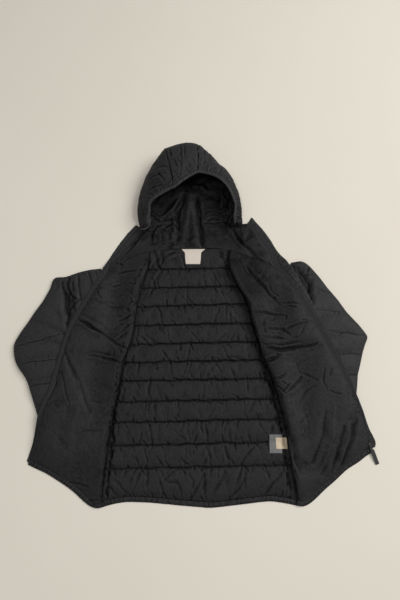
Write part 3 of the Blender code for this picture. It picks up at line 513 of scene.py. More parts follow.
class Surface:
    """Finished cloth that something else is laid on."""

    def __init__(self, *shapes):
        self.trees = [BVHTree.FromPolygons(points.tolist(), quads.tolist())
                      for points, quads in shapes]

    def height(self, x, y):
        """The top of the cloth at one place, in millimetres."""
        start = Vector((x, y, 300.0))
        tops = [tree.ray_cast(start, Vector((0.0, 0.0, -1.0)))[0] for tree in self.trees]
        return max([hit.z for hit in tops if hit] + [0.0])

    def laid(self, line, lift=0.0):
        """A line of the plan laid on the cloth."""
        return np.array([(x, y, self.height(x, y) + lift) for x, y in line])


# The quads of a small piece of three rings of four points, closed at both ends.
THREE_RINGS = [(4 * r + k, 4 * r + (k + 1) % 4, 4 * r + 4 + (k + 1) % 4, 4 * r + 4 + k)
               for r in range(2) for k in range(4)] + [(3, 2, 1, 0), (8, 9, 10, 11)]


def small_pieces(name, lines, finish, starts, length, rings):
    """Rows of like small pieces along lines of points, as one mesh. rings gives the points of one
    of them, from its two ends and the directions along and across it."""
    points = []
    quads = []
    for line in lines:
        far = far_along(line)
        for start in starts(far[-1]):
            ends = points_at([start, start + length], line, far)
            along = ends[1] - ends[0]
            along /= max(np.linalg.norm(along), 1e-6)
            quads += [[len(points) + corner for corner in quad] for quad in THREE_RINGS]
            points += rings(ends, along, np.cross((0.0, 0.0, 1.0), along))
    sewn_piece(mesh_of(name, np.array(points), np.array(quads)), finish)


STITCH_PITCH = 3.2
STITCH_LENGTH = 2.4
STITCH_RADIUS = 0.34


def stitch_rings(ends, along, across):
    """One stitch: thin where it enters the cloth and arched in its middle."""
    up = np.cross(along, across)
    return [ends[0] + (ends[1] - ends[0]) * share + up * STITCH_RADIUS * lift
            + (across * u + up * v) * STITCH_RADIUS * size
            for share, size, lift in ((0.0, 0.45, 0.2), (0.5, 1.0, 0.7), (1.0, 0.45, 0.2))
            for u, v in ((0.0, -1.0), (1.0, 0.0), (0.0, 1.0), (-1.0, 0.0))]


def stitches(slot, lines):
    """Rows of stitches along lines of points."""
    small_pieces(slot + "_stitching", lines, THREAD,
                 lambda far: np.arange(STITCH_PITCH, far - STITCH_PITCH, STITCH_PITCH),
                 STITCH_LENGTH, stitch_rings)


NECK_RIGHT = (-140.0, 398.0)
NECK_LEFT = (70.0, 401.0)
BACK_LINES = table("y slope", [
    (337, 0.020), (281, 0.024), (227, 0.030), (171, 0.026), (117, 0.024), (66, 0.022),
    (14, 0.018), (-42, 0.020), (-96, 0.022), (-156, 0.020), (-215, 0.020)])
BACK_RIGHT_SIDE = table("y x", [(-330, -261), (-200, -266), (0, -276), (120, -281), (318, -285),
                                (398, -140)])
BACK_LEFT_SIDE = table("y x", [(-330, 262), (-200, 267), (0, 277), (125, 283), (285, 269),
                               (401, 70)])
HEM_BACK = table("x y", [(-262, -316), (-229, -306), (-190, -301), (-131, -303), (-53, -310),
                         (31, -316), (105, -308), (184, -299), (230, -305), (263, -312)])
HEM_BAND_WIDTH = 13.0
BACK_COLUMNS = 126
CHANNEL_STEPS = (0.0, 0.03, 0.08, 0.17, 0.30, 0.44, 0.58, 0.72, 0.84, 0.92, 0.97)
STITCH_LOFT = 2.8
CHANNEL_LOFT = 9.3
CHANNEL_ROUNDNESS = 0.36   # the lower, the flatter a channel between its two lines
BACK_SLACK = (0.008, 0.022)   # how much longer the cloth is than its seams, above and at the hem
STITCH_GROOVE = (-2.6, 1.6)   # its rise and half width
LOWEST = 0.1   # no cloth lies lower than this over the floor
SINK = 2.0   # how far cloth may settle below its solid, and stand out from it
STAND = 3.0

# Long creases that fan out from the hem, and others that cross a channel or two.
BACK_FOLDS = [
    (-1.3, 4, (-228, -241), (-209, -261), (-190, -281)),
    (-2.2, 3, (-109, -241), (-100, -271), (-92, -295)),
    (-2.6, 3.2, (-107, -224), (-90, -244), (-58, -256), (-47, -295)),
    (-1.4, 3.5, (-29, -227), (-19, -249), (-18, -271)),
    (-2.8, 3.2, (13, -229), (-8, -266), (-26, -295)),
    (-3.2, 4.2, (13, -229), (11, -264), (16, -295)),
    (-1.8, 6, (67, -227), (45, -266), (29, -295)),
    (-3.4, 3.4, (146, -161), (115, -201), (107, -227), (95, -261), (87, -273)),
    (-2.8, 3.4, (122, -241), (103, -266), (76, -295)),
    (-2.8, 3.4, (224, -222), (191, -259), (166, -291)),
    (-2, 4, (242, -241), (226, -283)),
    (-2.4, 4, (-252, -246), (-232, -271), (-216, -286)),
    (-1.9, 3, (-172, -186), (-163, -217)),
    (-2, 3, (-151, -171), (-136, -206)),
    (-1.7, 3, (-115, -186), (-101, -212)),
    (-1.7, 3, (-51, -189), (-27, -212)),
    (-2.6, 3, (16, -158), (24, -184), (29, -209)),
    (-2.6, 3.2, (65, -163), (75, -189), (77, -214)),
    (-1.2, 2.6, (-19, -163), (-16, -186)),
    (-1.5, 3, (-158, -107), (-165, -161)),
    (-1.2, 3, (-68, -120), (-38, -145)),
    (-1.4, 2.8, (-35, -114), (-27, -151)),
    (-2.6, 3.2, (14, -104), (22, -151)),
    (-1.3, 3, (46, -107), (33, -133)),
    (-1.5, 5, (76, -99), (84, -145)),
    (-1.8, 3, (98, -130), (92, -161)),
    (-1.3, 2.6, (157, -140), (154, -156)),
    (-0.9, 2.4, (42, 357), (44, 300), (44, 242), (45, 180), (45, 111)),
    (-0.8, 2.4, (-29, 278), (-32, 233)),
    (-1, 2.6, (-147, -27), (-151, -67)),
    (-1.2, 2.6, (-34, 61), (-50, 16)),
    (-1, 2.6, (34, 55), (28, 27)),
    (-3, 4, (39, 394), (65, 366), (92, 341)),
    (-2, 3.5, (57, 391), (80, 372)),
    (-2.2, 4, (-72, 388), (-98, 379), (-119, 363)),
    (3, 5, (-65, 379), (-95, 369), (-118, 332), (-149, 281)),
    (-3, 4, (-125, 366), (-139, 354), (-147, 326)),
    (-3, 4, (-109, 338), (-135, 293), (-146, 251)),
    (-1.8, 3.5, (-94, 332), (-103, 311)),
    (-7, 4, (-136, 390), (-128, 370), (-126, 348)),
    (-6, 3, (-118, 394), (-112, 374), (-110, 354)),
    (-4, 3.5, (44, 392), (60, 380), (76, 358)),
    (2.5, 3, (54, 396), (72, 386), (84, 368)),
    (-6, 4.5, (80, 388), (84, 366), (88, 336)),
    (-3, 3, (-134, 352), (-118, 340), (-104, 336))]


# Where the two fronts roll over, the channels end in knotted puckers.
UNDER_RIGHT = [(-150, 362), (-176, 317), (-190, 272), (-197, 227), (-202, 183), (-211, 140),
               (-218, 97), (-224, 49), (-228, 0), (-234, -46), (-238, -93), (-243, -196),
               (-250, -295)]
UNDER_LEFT = [(116, 357), (132, 287), (145, 227), (160, 168), (170, 111), (185, 55), (200, 0),
              (211, -54), (222, -120), (228, -184), (234, -246), (240, -300)]


def back_row(level, slope):
    """A line across the back, from its right side to its left side."""
    ends = []
    for rows in (BACK_RIGHT_SIDE, BACK_LEFT_SIDE):
        y = level + slope * np.interp(level, rows["y"], rows["x"])
        ends.append((np.interp(y, rows["y"], rows["x"]), y))
    return np.linspace(ends[0], ends[1], BACK_COLUMNS)


def grid_quads(rows, columns):
    """Quads over a grid of points."""
    i, j = np.meshgrid(np.arange(rows - 1), np.arange(columns - 1), indexing="ij")
    corner = (i * columns + j).ravel()
    return np.stack([corner, corner + columns, corner + columns + 1, corner + 1], axis=1)


def rim_of(quads):
    """The edges at the rim of a sheet, each in the direction of its own quad."""
    edges = np.concatenate([quads[:, [k, (k + 1) % 4]] for k in range(4)])
    _, first, count = np.unique(np.sort(edges, axis=1), axis=0, return_index=True,
                                return_counts=True)
    return edges[first[count == 1]]


stitch_rows = [np.linspace(NECK_RIGHT, NECK_LEFT, BACK_COLUMNS)]
stitch_rows += [back_row(y, slope) for y, slope in zip(BACK_LINES["y"], BACK_LINES["slope"])]
hem_row = back_row(-300.0, 0.0)
hem_row[:, 1] = np.interp(hem_row[:, 0], HEM_BACK["x"], HEM_BACK["y"]) + HEM_BAND_WIDTH
stitch_rows.append(hem_row)
for k, row in enumerate(stitch_rows[1:-1]):
    row[:, 1] += 0.9 * ripple(row, 20 + k, 34.0)
plan = []
rise = []
for upper, lower in zip(stitch_rows, stitch_rows[1:]):
    for step in CHANNEL_STEPS:
        plan.append(upper + (lower - upper) * step)
        rise.append(math.sin(math.pi * step) ** CHANNEL_ROUNDNESS)
plan.append(hem_row)
rise.append(0.0)
plan = np.array(plan)
rise = np.array(rise)
sewn = rise == 0.0
across = np.linspace(0.0, 1.0, BACK_COLUMNS)
edge_loft = 0.25 + 0.75 * smooth_step(np.minimum(across, 1.0 - across) * 22.0)
height = STITCH_LOFT + (CHANNEL_LOFT - STITCH_LOFT) * rise[:, None] * edge_loft[None, :]
top = np.concatenate([plan, height[..., None]], axis=-1).reshape(-1, 3)
back_quads = grid_quads(len(plan), BACK_COLUMNS)
hold = np.zeros((len(plan), BACK_COLUMNS))
hold[sewn] = 1.0
hold[:, [0, -1]] = 1.0
loose = smooth_step((-205.0 - top[:, 1]) / 20.0)
settled = settle(top, back_quads, hold.ravel(), BACK_SLACK, 0.15, loose)
settled = limited(top, settled, back_quads, SINK, STAND)
back_points, back_quads = finer(settled, back_quads)
seams = stitch_rows[1:-1]
back_tucks = tucks(seams, 27.0, 15.0, 2.0, 3.6, 26.0, 41)
back_tucks += tucks(seams, 34.0, 34.0, 3.0, 2.0, 8.0, 42)
back_tucks += tucks([hem_row], 9.0, 14.0, 2.0, 2.4, 12.0, 43)
back_tucks += tucks([UNDER_RIGHT], 10.0, 20.0, 3.2, 5.0, 0.0, 44)
back_tucks += tucks([UNDER_LEFT], 12.0, 16.0, 3.2, 4.5, 0.0, 45)
back_tucks += [(-4.0, 6.0, *UNDER_RIGHT), (-4.0, 7.0, *UNDER_LEFT)]
back_points[:, 2] += folded(back_points, BACK_FOLDS) + folded(back_points, back_tucks)
back_points[:, 2] += folded(back_points, [(*STITCH_GROOVE, *row[::6]) for row in seams])
back_points[:, 2] = np.maximum(back_points[:, 2], 1.0)
back_shape = Surface((back_points, back_quads))

# Its shell side is flat and lies on the floor.
after = dict(rim_of(back_quads).tolist())
rim = list(after)[:1]
while len(rim) < len(after):
    rim.append(after[rim[-1]])
below = np.arange(len(rim)) + len(back_points)
sides = np.stack([np.roll(rim, -1), rim, below, np.roll(below, -1)], axis=1)
floor_side = back_points[rim] * (1.0, 1.0, 0.0) + (0.0, 0.0, LOWEST)
mesh = bpy.data.meshes.new("back_lining")
mesh.from_pydata((np.concatenate([back_points, floor_side]) * MM + WAIST).tolist(), [],
                 back_quads.tolist() + sides.tolist() + [below[::-1].tolist()])
back = sewn_piece(mesh, LINING)
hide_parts("back")
stitches("back", [back_shape.laid(row, -0.2) for row in seams])

# ------------------------------------------------------------------ hem bands
# Three lengths of narrow shell cloth, folded over an elastic cord and sewn to the lower edges of
# the back and of both fronts. The cord gathers the cloth into short folds.

SHELL = nylon("shell_nylon", (0.0012, 0.0012, 0.0015), (0.0165, 0.0165, 0.0178),
              (0.0265, 0.0265, 0.0280), 0.16)
PULL_OUT = 0.85   # how much of what smoothing takes off a solid's edges is put back

# The cloth is spread a little past its solids along the jacket's two sides.
SPREAD_RIGHT = table("y edge move", [
    (-200, -463, 3), (-60, -418, 4), (0, -470, 6), (60, -510, 5), (110, -510, 4), (180, -480, 3),
    (240, -440, 3), (277, -415, 4), (312, -378, 12), (330, -310, 8), (348, -268, 7),
    (386, -246, 9), (424, -224, 10), (450, -211, 8), (475, -200, 0), (540, -200, 0)])
SPREAD_LEFT = table("y edge move", [
    (-200, 464, 0), (-130, 462, 2), (-60, 430, 4), (30, 436, 2), (68, 445, 5), (102, 450, 9),
    (136, 453, 12), (170, 432, 10), (205, 405, 10), (240, 385, 11), (277, 362, 8),
    (312, 335, 8), (348, 303, 10), (386, 216, 13), (424, 196, 14), (462, 174, 10), (500, 158, 0),
    (540, 158, 0)])
# Some corners are moved as well: x, y, the move right and up, and how far about them.
CORNERS = ((-414, 300, -4, 4, 17), (468, 134, 7, 0, 17), (-512, 112, -3, 2, 17),
           (-141, 512, -9, 0, 26), (-143, 472, -14, -4, 20), (-192, 470, 1, 6, 15),
           (362, -228, 1, -9, 42), (425, -190, 2, -10, 40))


def near_to(points, x, y, reach):
    """1 at a place in the plan, and less the farther a point lies from it."""
    return np.exp(-((points[:, 0] - x) ** 2 + (points[:, 1] - y) ** 2) / reach ** 2)


def nudged(points, places):
    """How far points near some places are moved. Each has x, y, a move right and up, and a reach."""
    move = np.zeros_like(points)
    for x, y, right, up, reach in places:
        move += near_to(points, x, y, reach)[:, None] * np.array([right, up, 0.0])
    return move


def spread_out(points):
    """How far each point of the sides is moved to meet the jacket's real outline."""
    move = np.zeros_like(points)
    for side, rows in ((-1.0, SPREAD_RIGHT), (1.0, SPREAD_LEFT)):
        edge = side * np.interp(points[:, 1], rows["y"], rows["edge"])
        share = smooth_step((side * points[:, 0] - edge + 60.0) / 60.0)
        move[:, 0] += side * share * np.interp(points[:, 1], rows["y"], rows["move"])
    return move + nudged(points, CORNERS)


def tailored(node, levels, firm=0.0, swell=0.0):
    """A node's solid as a smooth fine mesh. firm keeps its corners, swell closes its seams."""
    work = bmesh.new()
    work.from_mesh(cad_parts[node].data)
    bmesh.ops.remove_doubles(work, verts=work.verts, dist=1e-6)
    bmesh.ops.join_triangles(work, faces=work.faces, cmp_seam=False, cmp_sharp=False, cmp_uvs=False,
                             cmp_vcols=False, cmp_materials=False, angle_face_threshold=0.9,
                             angle_shape_threshold=2.2)
    crease = work.edges.layers.float.new("crease_edge")
    for edge in work.edges:
        if len(edge.link_faces) == 2 and edge.calc_face_angle() > 0.75:
            edge[crease] = firm
    cage = bpy.data.meshes.new(node + "_cage")
    work.to_mesh(cage)
    work.free()
    corners = read(cage.vertices, "co")
    smoothed = smoother(cage.copy(), levels)[0][:len(corners)] * MM + WAIST
    cage.vertices.foreach_set("co", (corners + PULL_OUT * (corners - smoothed)).ravel())
    points, quads = smoother(cage, levels)
    if swell:
        points = points + normals_of(points, quads) * swell
    points = points + spread_out(points)
    points[:, 2] = np.maximum(points[:, 2], LOWEST)
    return points, quads


def gathers(along, pitch, seed):
    """Short uneven folds across a gathered strip, from about -1 to 1."""
    draw = np.random.default_rng(seed)
    total = np.zeros_like(along)
    for stretch in (0.55, 0.8, 1.0, 1.35, 1.9):
        total += np.sin(along * math.tau / (pitch * stretch) + draw.uniform(0.0, math.tau))
    return np.tanh(total / 1.6)


def shown_piece(name, points, quads, finish, node, shaded=0.0):
    """A finished piece that stands for its CAD node."""
    points[:, 2] = np.maximum(points[:, 2], LOWEST)
    piece = sewn_piece(mesh_of(name, points, quads), finish, shaded)
    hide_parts(node)
    return piece


HEM_FRONT_RIGHT = [(-258, -300), (-275, -303), (-296, -292), (-330, -264), (-372, -238),
                   (-412, -216), (-452, -199)]
HEM_FRONT_LEFT = [(258, -294), (272, -298), (294, -286), (326, -256), (362, -220),
                  (406, -188), (452, -160)]
HEM_GATHER_PITCH = 8.0
HEM_GATHER_DEPTH = 0.28
HEM_STITCH_LINE = 9.5   # how far from its lower edge a band is stitched
HEM_SHADE = 0.14   # the bands lie in the shade of the padding beside them
HEM_ENDS = ((-455, -200, -3, 5, 12), (462, -170, 5, -3, 18))   # nudged to meet the zip
for seed, (node, line) in enumerate((("hem_band_back", np.stack([HEM_BACK["x"], HEM_BACK["y"]], 1)),
                                     ("hem_band_right", HEM_FRONT_RIGHT),
                                     ("hem_band_left", HEM_FRONT_LEFT))):
    points, quads = tailored(node, 3, firm=0.6, swell=0.4)
    normal = normals_of(points, quads)
    path = spline(line, 60)
    away, along = from_line(points, path)
    ruffles = gathers(along * far_along(path)[-1], HEM_GATHER_PITCH, seed)
    ruffles -= 1.2 * np.exp(-((away - HEM_STITCH_LINE) / 1.2) ** 2)
    points += normal * (HEM_GATHER_DEPTH * ruffles * smooth_step(normal[:, 2] * 2.0))[:, None]
    points += nudged(points, HEM_ENDS)
    band = shown_piece(node + "_cloth", points, quads, SHELL, node, HEM_SHADE)

# ------------------------------------------------------------------ sleeves
# Two quilted sleeves of shell cloth, pressed flat: a padded tube with a line of stitches round it
# about every 50 mm. The elbows are bent, so that the cloth folds at the inner bend.

SLEEVE_RIGHT_LINES = [((-522, 104), (-445, 125), (-378, 145)), ((-502, 56), (-440, 66), (-360, 78)),
                      ((-476, -4), (-420, 4), (-345, 16)), ((-454, -56), (-385, -44), (-331, -30)),
                      ((-431, -108), (-370, -98), (-314, -90))]
SLEEVE_LEFT_LINES = [((372, 262), (348, 271), (329, 281)), ((412, 205), (398, 206), (315, 211)),
                     ((474, 137), (461, 139), (340, 152)), ((462, 84), (449, 84), (360, 85)),
                     ((444, 27), (428, 27), (380, 27)), ((432, -26), (400, -26), (370, -26))]
SLEEVE_RIGHT_FOLDS = [
    (-6, 12, (-386, 292), (-382, 262), (-377, 226), (-370, 180)),
    (-4.5, 5, (-400, 290), (-393, 252), (-385, 214), (-376, 170), (-365, 140)),
    (-3, 4, (-368, 290), (-366, 262), (-360, 232)),
    (-4, 4, (-384, 276), (-372, 250), (-362, 220), (-352, 196)),
    (-3.5, 3.5, (-386, 318), (-384, 298), (-379, 262)),
    (-3, 3.5, (-356, 322), (-353, 292), (-343, 236)),
    (-3, 3, (-330, 334), (-322, 308), (-314, 286)),
    (-2.5, 3, (-308, 324), (-300, 306), (-295, 289)),
    (-2.5, 4, (-388, 262), (-370, 250), (-352, 236)),
    (-2, 4, (-372, 212), (-360, 226), (-346, 240))]
SLEEVE_LEFT_FOLDS = [
    (-12, 9, (288, 336), (298, 312), (307, 286), (315, 256), (319, 232)),
    (-3, 3.5, (272, 348), (280, 326), (288, 300)),
    (-2.5, 3.5, (283, 340), (290, 326), (296, 316)),
    (-3, 3.5, (318, 340), (312, 322), (304, 312)),
    (-2, 3, (330, 318), (320, 316), (306, 308))]
SLEEVE_GROOVE = (-1.6, 1.6)
VALLEY_SHADE = 0.40   # how much darker the deep fold below each shoulder is, and how far
VALLEY_REACH = 14.0
for node, ends, folds in (("sleeve_right", SLEEVE_RIGHT_LINES, SLEEVE_RIGHT_FOLDS),
                          ("sleeve_left", SLEEVE_LEFT_LINES, SLEEVE_LEFT_FOLDS)):
    points, quads = tailored(node, 3, firm=0.5)
    lines = [spline(places, 9) for places in ends]
    on_top = smooth_step(normals_of(points, quads)[:, 2] * 3.0)
    sleeve_tucks = tucks(lines, 22.0, 8.0, 1.8, 0.8, 10.0, 51)
    corners = (points[:, :2].min(axis=0), points[:, :2].max(axis=0))
    sleeve_tucks += crinkles(corners, 50, 18.0, 4.5, 0.4, -20.0, 52)
    points[:, 2] += on_top * folded(points, folds + sleeve_tucks)
    points[:, 2] += on_top * folded(points, [(*SLEEVE_GROOVE, *line) for line in lines])
    away, along = from_line(points, spline(folds[0][2:], 30))
    shaded = VALLEY_SHADE * on_top * np.exp(-(away / VALLEY_REACH) ** 2)
    shaded = shaded * smooth_step(2.6 - 2.6 * along)
    sleeve = shown_piece(node + "_shell", points, quads, SHELL, node, shaded)
    sleeve_shape = Surface((points, quads))
    stitches(node, [sleeve_shape.laid(spline(line, 50), -0.2) for line in lines])

# ------------------------------------------------------------------ hood
# Three panels, a left side, a right side and a centre strip, run from the neck seam over the head.
# Each is shell cloth outside and lining inside, with thin padding between. It stands by itself.

HOOD_MIDDLE = np.array([-15.0, 590.0, 45.0])

# The lining inside lies in loose folds: a tongue in the middle, deep hollows on both sides of it.
HOOD_LINING_FOLDS = [
    (7, 14, (-29, 585), (-33, 540), (-37, 504), (-36, 470)),
    (4, 10, (-48, 500), (-46, 450), (-48, 415)),
    (4, 10, (-18, 500), (-16, 450), (-14, 412)),
    (-11, 7, (-49, 573), (-57, 544), (-69, 514), (-68, 472), (-70, 415)),
    (-11, 7, (-9, 563), (-5, 514), (-2, 475), (6, 424), (10, 402)),
    (-3, 3, (-36, 470), (-30, 440), (-28, 412)),
    (-4, 3, (-98, 455), (-92, 430), (-94, 408)),
    (-4, 3, (-118, 450), (-112, 425), (-116, 405)),
    (3, 3, (-90, 450), (-84, 428), (-86, 410)),
    (6, 8, (-112, 502), (-84, 524), (-62, 556)),
    (5, 3.5, (-149, 511), (-130, 498), (-112, 491)),
    (-3, 3.5, (-142, 495), (-118, 485)),
    (5, 4, (-97, 498), (-82, 501), (-73, 482), (-66, 462)),
    (5, 5, (-109, 469), (-126, 459), (-135, 437), (-137, 418)),
    (6, 6, (-102, 462), (-84, 469), (-69, 453), (-72, 424), (-77, 402)),
    (-3, 3, (-84, 437), (-80, 405)),
    (2.6, 2.6, (14, 496), (27, 511), (43, 514), (58, 508), (67, 495)),
    (-3, 4, (22, 488), (40, 498), (60, 490)),
    (4, 6, (65, 587), (67, 560), (64, 534)),
    (6, 7, (94, 552), (90, 530), (88, 515)),
    (4, 4, (106, 511), (88, 485), (84, 462)),
    (-3, 3.5, (9, 485), (45, 479), (66, 482)),
    (-2, 3, (39, 447), (51, 437)),
    (-2, 3, (15, 450), (18, 434)),
    (8, 8, (-19, 600), (0, 597), (15, 590)),
    (-2, 3, (-44, 452), (-40, 430), (-36, 412)),
    (-2, 3, (-26, 450), (-14, 428), (-4, 412)),
    (-1.5, 3, (-50, 420), (-44, 408)),
    (5, 3, (54, 588), (72, 564), (86, 538), (93, 516), (92, 478)),
    (-6, 3.6, (-168, 452), (-191, 423), (-208, 401), (-224, 380)),
    (-7, 4.5, (101, 458), (115, 428), (142, 403), (165, 374), (192, 357)),
    (2, 3, (112, 448), (128, 426), (150, 405))]
HOOD_SHELL_FOLDS = [
    (-3, 1.7, (-118, 704), (-104, 685), (-95, 646), (-82, 587), (-79, 560)),
    (-3, 1.7, (-3, 722), (-7, 695), (-7, 650), (-7, 612)),
    (-2.2, 2.5, (-144, 620), (-118, 626), (-96, 618)),
    (2.4, 2.6, (-155, 608), (-117, 615), (-84, 600)),
    (-2.4, 2.5, (-148, 598), (-118, 604), (-100, 598)),
    (-3, 3, (-129, 610), (-114, 594), (-102, 575)),
    (2.2, 2.6, (-146, 573), (-128, 580), (-111, 579)),
    (-2.2, 2.4, (-150, 562), (-126, 568), (-108, 568)),
    (2, 2.4, (-116, 545), (-87, 567), (-70, 586)),
    (-2, 2.2, (-89, 683), (-83, 650)),
    (2, 2.2, (-51, 690), (-48, 660), (-47, 634)),
    (-1.8, 2.4, (-60, 700), (-56, 672), (-54, 650)),
    (2, 2.4, (-71, 650), (-64, 630), (-56, 611)),
    (-1.8, 2.2, (15, 710), (14, 680), (12, 650)),
    (1.8, 2.4, (30, 690), (34, 662), (35, 634)),
    (-1.8, 2.4, (48, 664), (58, 636), (65, 611)),
    (-1.6, 2.5, (-53, 633), (-56, 613), (-59, 594)),
    (-1.2, 2, (-41, 620), (-38, 603)),
    (-1.2, 2, (-32, 629), (-32, 613)),
    (-1.2, 2, (12, 649), (15, 623)),
    (-1.4, 2.5, (-45, 704), (-44, 659)),
    (-1, 2, (-89, 646), (-77, 642)),
    (-1.4, 3, (-150, 596), (-138, 589), (-138, 576)),
    (-1.6, 3, (-175, 528), (-168, 490)),
    (1.6, 3, (-182, 553), (-178, 520))]
HOOD_RIM = [(-156, 449), (-146, 461), (-145, 485), (-145, 509), (-140, 526), (-129, 538),
            (-117, 546), (-106, 552), (-96, 556), (-87, 560), (-77, 563), (-40, 586), (-6, 610),
            (16, 607), (36, 602), (60, 591), (80, 573), (93, 554), (103, 532), (109, 512),
            (107, 488), (109, 471), (120, 466)]
RIM_GATHER_REACH = 22.0
HOOD_SLACK = (0.022, 0.0)
CROWN_CRINKLES = crinkles(((-150, 560), (110, 715)), 30, 13.0, 2.6, 0.6, 80.0, 9)
COLLAR_TOP = (450.0, 478.0)   # up to where the collar lies lining up, on its right and its left
# Places where the lining bulges: x, y, z, how far about them and how high.
HOOD_BULGES = ((100, 518, 40, 20, 9.0), (80, 560, 45, 16, 6.0), (30, 600, 50, 18, 6.0))
DEEP_SHADE = 0.21   # how much darker the lining is inside the hood
# Places of more painted shade, or of painted light where the amount is below 0: x, y, how far about
# them and by how much.
HOOD_SHADE = ((-112, 524, 24, 0.22), (-88, 534, 18, 0.14), (92, 518, 20, -0.30), (70, 560, 18, -0.10),
              (20, 590, 26, -0.20), (-35, 500, 26, -0.08), (40, 535, 22, 0.14), (10, 500, 16, 0.06),
              (52, 428, 48, 0.22), (118, 425, 42, 0.14), (170, 388, 40, 0.08), (-90, 430, 60, 0.05))
# How far the crown's edge lies below the middle of its panels, along X.
CROWN_DROP = table("x drop", [(-200, 0), (-150, 0), (-118, 5), (-100, 6), (-75, 3), (-45, 0),
                              (-22, 2), (0, 9), (18, 5), (45, 0), (200, 0)])


def crown_fit(points):
    """Rounds the crown: its centre strip stands out, and drops towards its two seams."""
    drop = np.interp(points[:, 0], CROWN_DROP["x"], CROWN_DROP["drop"])
    move = np.zeros_like(points)
    move[:, 1] = -drop * smooth_step((points[:, 1] - 640.0) / 50.0)
    return move


def to_inside(points):
    """The way to the lining's side: up on the collar, and to the hollow's middle above it."""
    way = HOOD_MIDDLE - points
    top = np.where(points[:, 0] > 0.0, COLLAR_TOP[1], COLLAR_TOP[0])
    way[:, 2] += 600.0 * smooth_step((top - points[:, 1]) / 20.0)
    return way


def two_sided(piece, points, quads, finish):
    """Gives the faces on the lining's side a second finish."""
    piece.data.materials.append(finish.material)
    middle = points[quads].mean(axis=1)
    across = points[quads[:, 2]] - points[quads[:, 0]]
    down = points[quads[:, 3]] - points[quads[:, 1]]
    faces_in = np.sum(np.cross(across, down) * to_inside(middle), axis=1) > 0.0
    piece.data.polygons.foreach_set("material_index", faces_in.astype(int))


rim = spline(HOOD_RIM, 120)
for node in ("hood_side_right", "hood_centre", "hood_side_left"):
    points, quads = tailored(node, 2, firm=0.5, swell=0.5)
    points += crown_fit(points)
    normal = normals_of(points, quads)
    hold = np.where((points[:, 2] < 2.0) | (normal[:, 2] < -0.6), 1.0, 0.0)
    settled = settle(points, quads, hold, HOOD_SLACK, 0.1, seed=4)
    points, quads = finer(limited(points, settled, quads, SINK, STAND), quads)
    normal = normals_of(points, quads)
    facing = smooth_step(0.5 + np.sum(normal * to_inside(points), axis=1) / 20.0)
    lining_change = folded(points, crisper(HOOD_LINING_FOLDS, 1.3, 0.8))
    for x, y, z, reach, bulge in HOOD_BULGES:
        near = np.exp(-np.sum((points - (x, y, z)) ** 2, axis=1) / reach ** 2)
        points += normal * (bulge * facing * near)[:, None]
    points[:, 2] += facing * smooth_step(normal[:, 2] * 2.0) * lining_change
    shell_change = folded(points, HOOD_SHELL_FOLDS + CROWN_CRINKLES)
    away, along = from_line(points, rim)
    shell_change += (0.9 * gathers(along * far_along(rim)[-1], 6.5, 7)
                     * np.exp(-(away / RIM_GATHER_REACH) ** 2))
    points += normal * ((1.0 - facing) * shell_change * smooth_step(points[:, 2] / 15.0))[:, None]
    # Painted shade inside the hood, with spots of painted light.
    hood_shade_and_light = DEEP_SHADE * smooth_step((points[:, 1] - 395.0) / 60.0)
    for x, y, reach, dark in HOOD_SHADE:
        hood_shade_and_light += dark * near_to(points, x, y, reach)
    hood = shown_piece(node + "_cloth", points, quads, SHELL, node, facing * hood_shade_and_light)
    two_sided(hood, points, quads, LINING)

# ------------------------------------------------------------------ hood binding
# A narrow strip of shell cloth, folded over the edge of the hood's face opening and gathered there.
# Its right end runs on round the lower end of the side panel.

# Shell cloth given a lighter colour: a painted highlight for the rim, which catches the light.
BINDING = nylon("binding_nylon", (0.0020, 0.0020, 0.0023), (0.0240, 0.0240, 0.0256),
                (0.0340, 0.0340, 0.0358), 0.18)
points, quads = tailored("hood_binding", 3, swell=0.5)
away, along = from_line(points, rim)
points += normals_of(points, quads) * (0.35 * gathers(along * far_along(rim)[-1], 5.0, 8))[:, None]
binding = shown_piece("hood_binding_cloth", points, quads, BINDING, "hood_binding")

CURL = [(-147, 482, 45), (-147, 468, 43), (-151, 457, 40), (-159, 451, 36), (-168, 449, 34),
        (-177, 450, 32)]
CURL_WIDTH = 3.2
CURL_ROWS = 40
CURL_COLUMNS = 12
path = spline(CURL, CURL_ROWS)
run = np.gradient(path, axis=0)
run /= np.linalg.norm(run, axis=1)[:, None]
side = np.cross(run, (0.0, 0.0, 1.0))
side /= np.linalg.norm(side, axis=1)[:, None]
turn = np.linspace(0.0, math.tau, CURL_COLUMNS, endpoint=False)
rows = np.arange(CURL_ROWS)
taper = np.minimum(1.0, np.minimum(rows, rows[::-1]) / 3.0 + 0.15)
ring = side[:, None] * np.cos(turn)[None, :, None]
ring = ring + np.cross(side, run)[:, None] * np.sin(turn)[None, :, None]
points = (path[:, None] + ring * (CURL_WIDTH * taper)[:, None, None]).reshape(-1, 3)
i, j = np.meshgrid(rows[:-1], np.arange(CURL_COLUMNS), indexing="ij")
first = (i * CURL_COLUMNS + j).ravel()
after = (i * CURL_COLUMNS + (j + 1) % CURL_COLUMNS).ravel()
quads = np.stack([first, first + CURL_COLUMNS, after + CURL_COLUMNS, after], axis=1)
sewn_piece(mesh_of("hood_binding_curl", points, quads), BINDING)

# ------------------------------------------------------------------ fronts
# The two padded fronts, folded open over the sleeves with their smooth lining up. Each rolls over
# at its inner edge. The lining is held at the seams, so it creases between them.

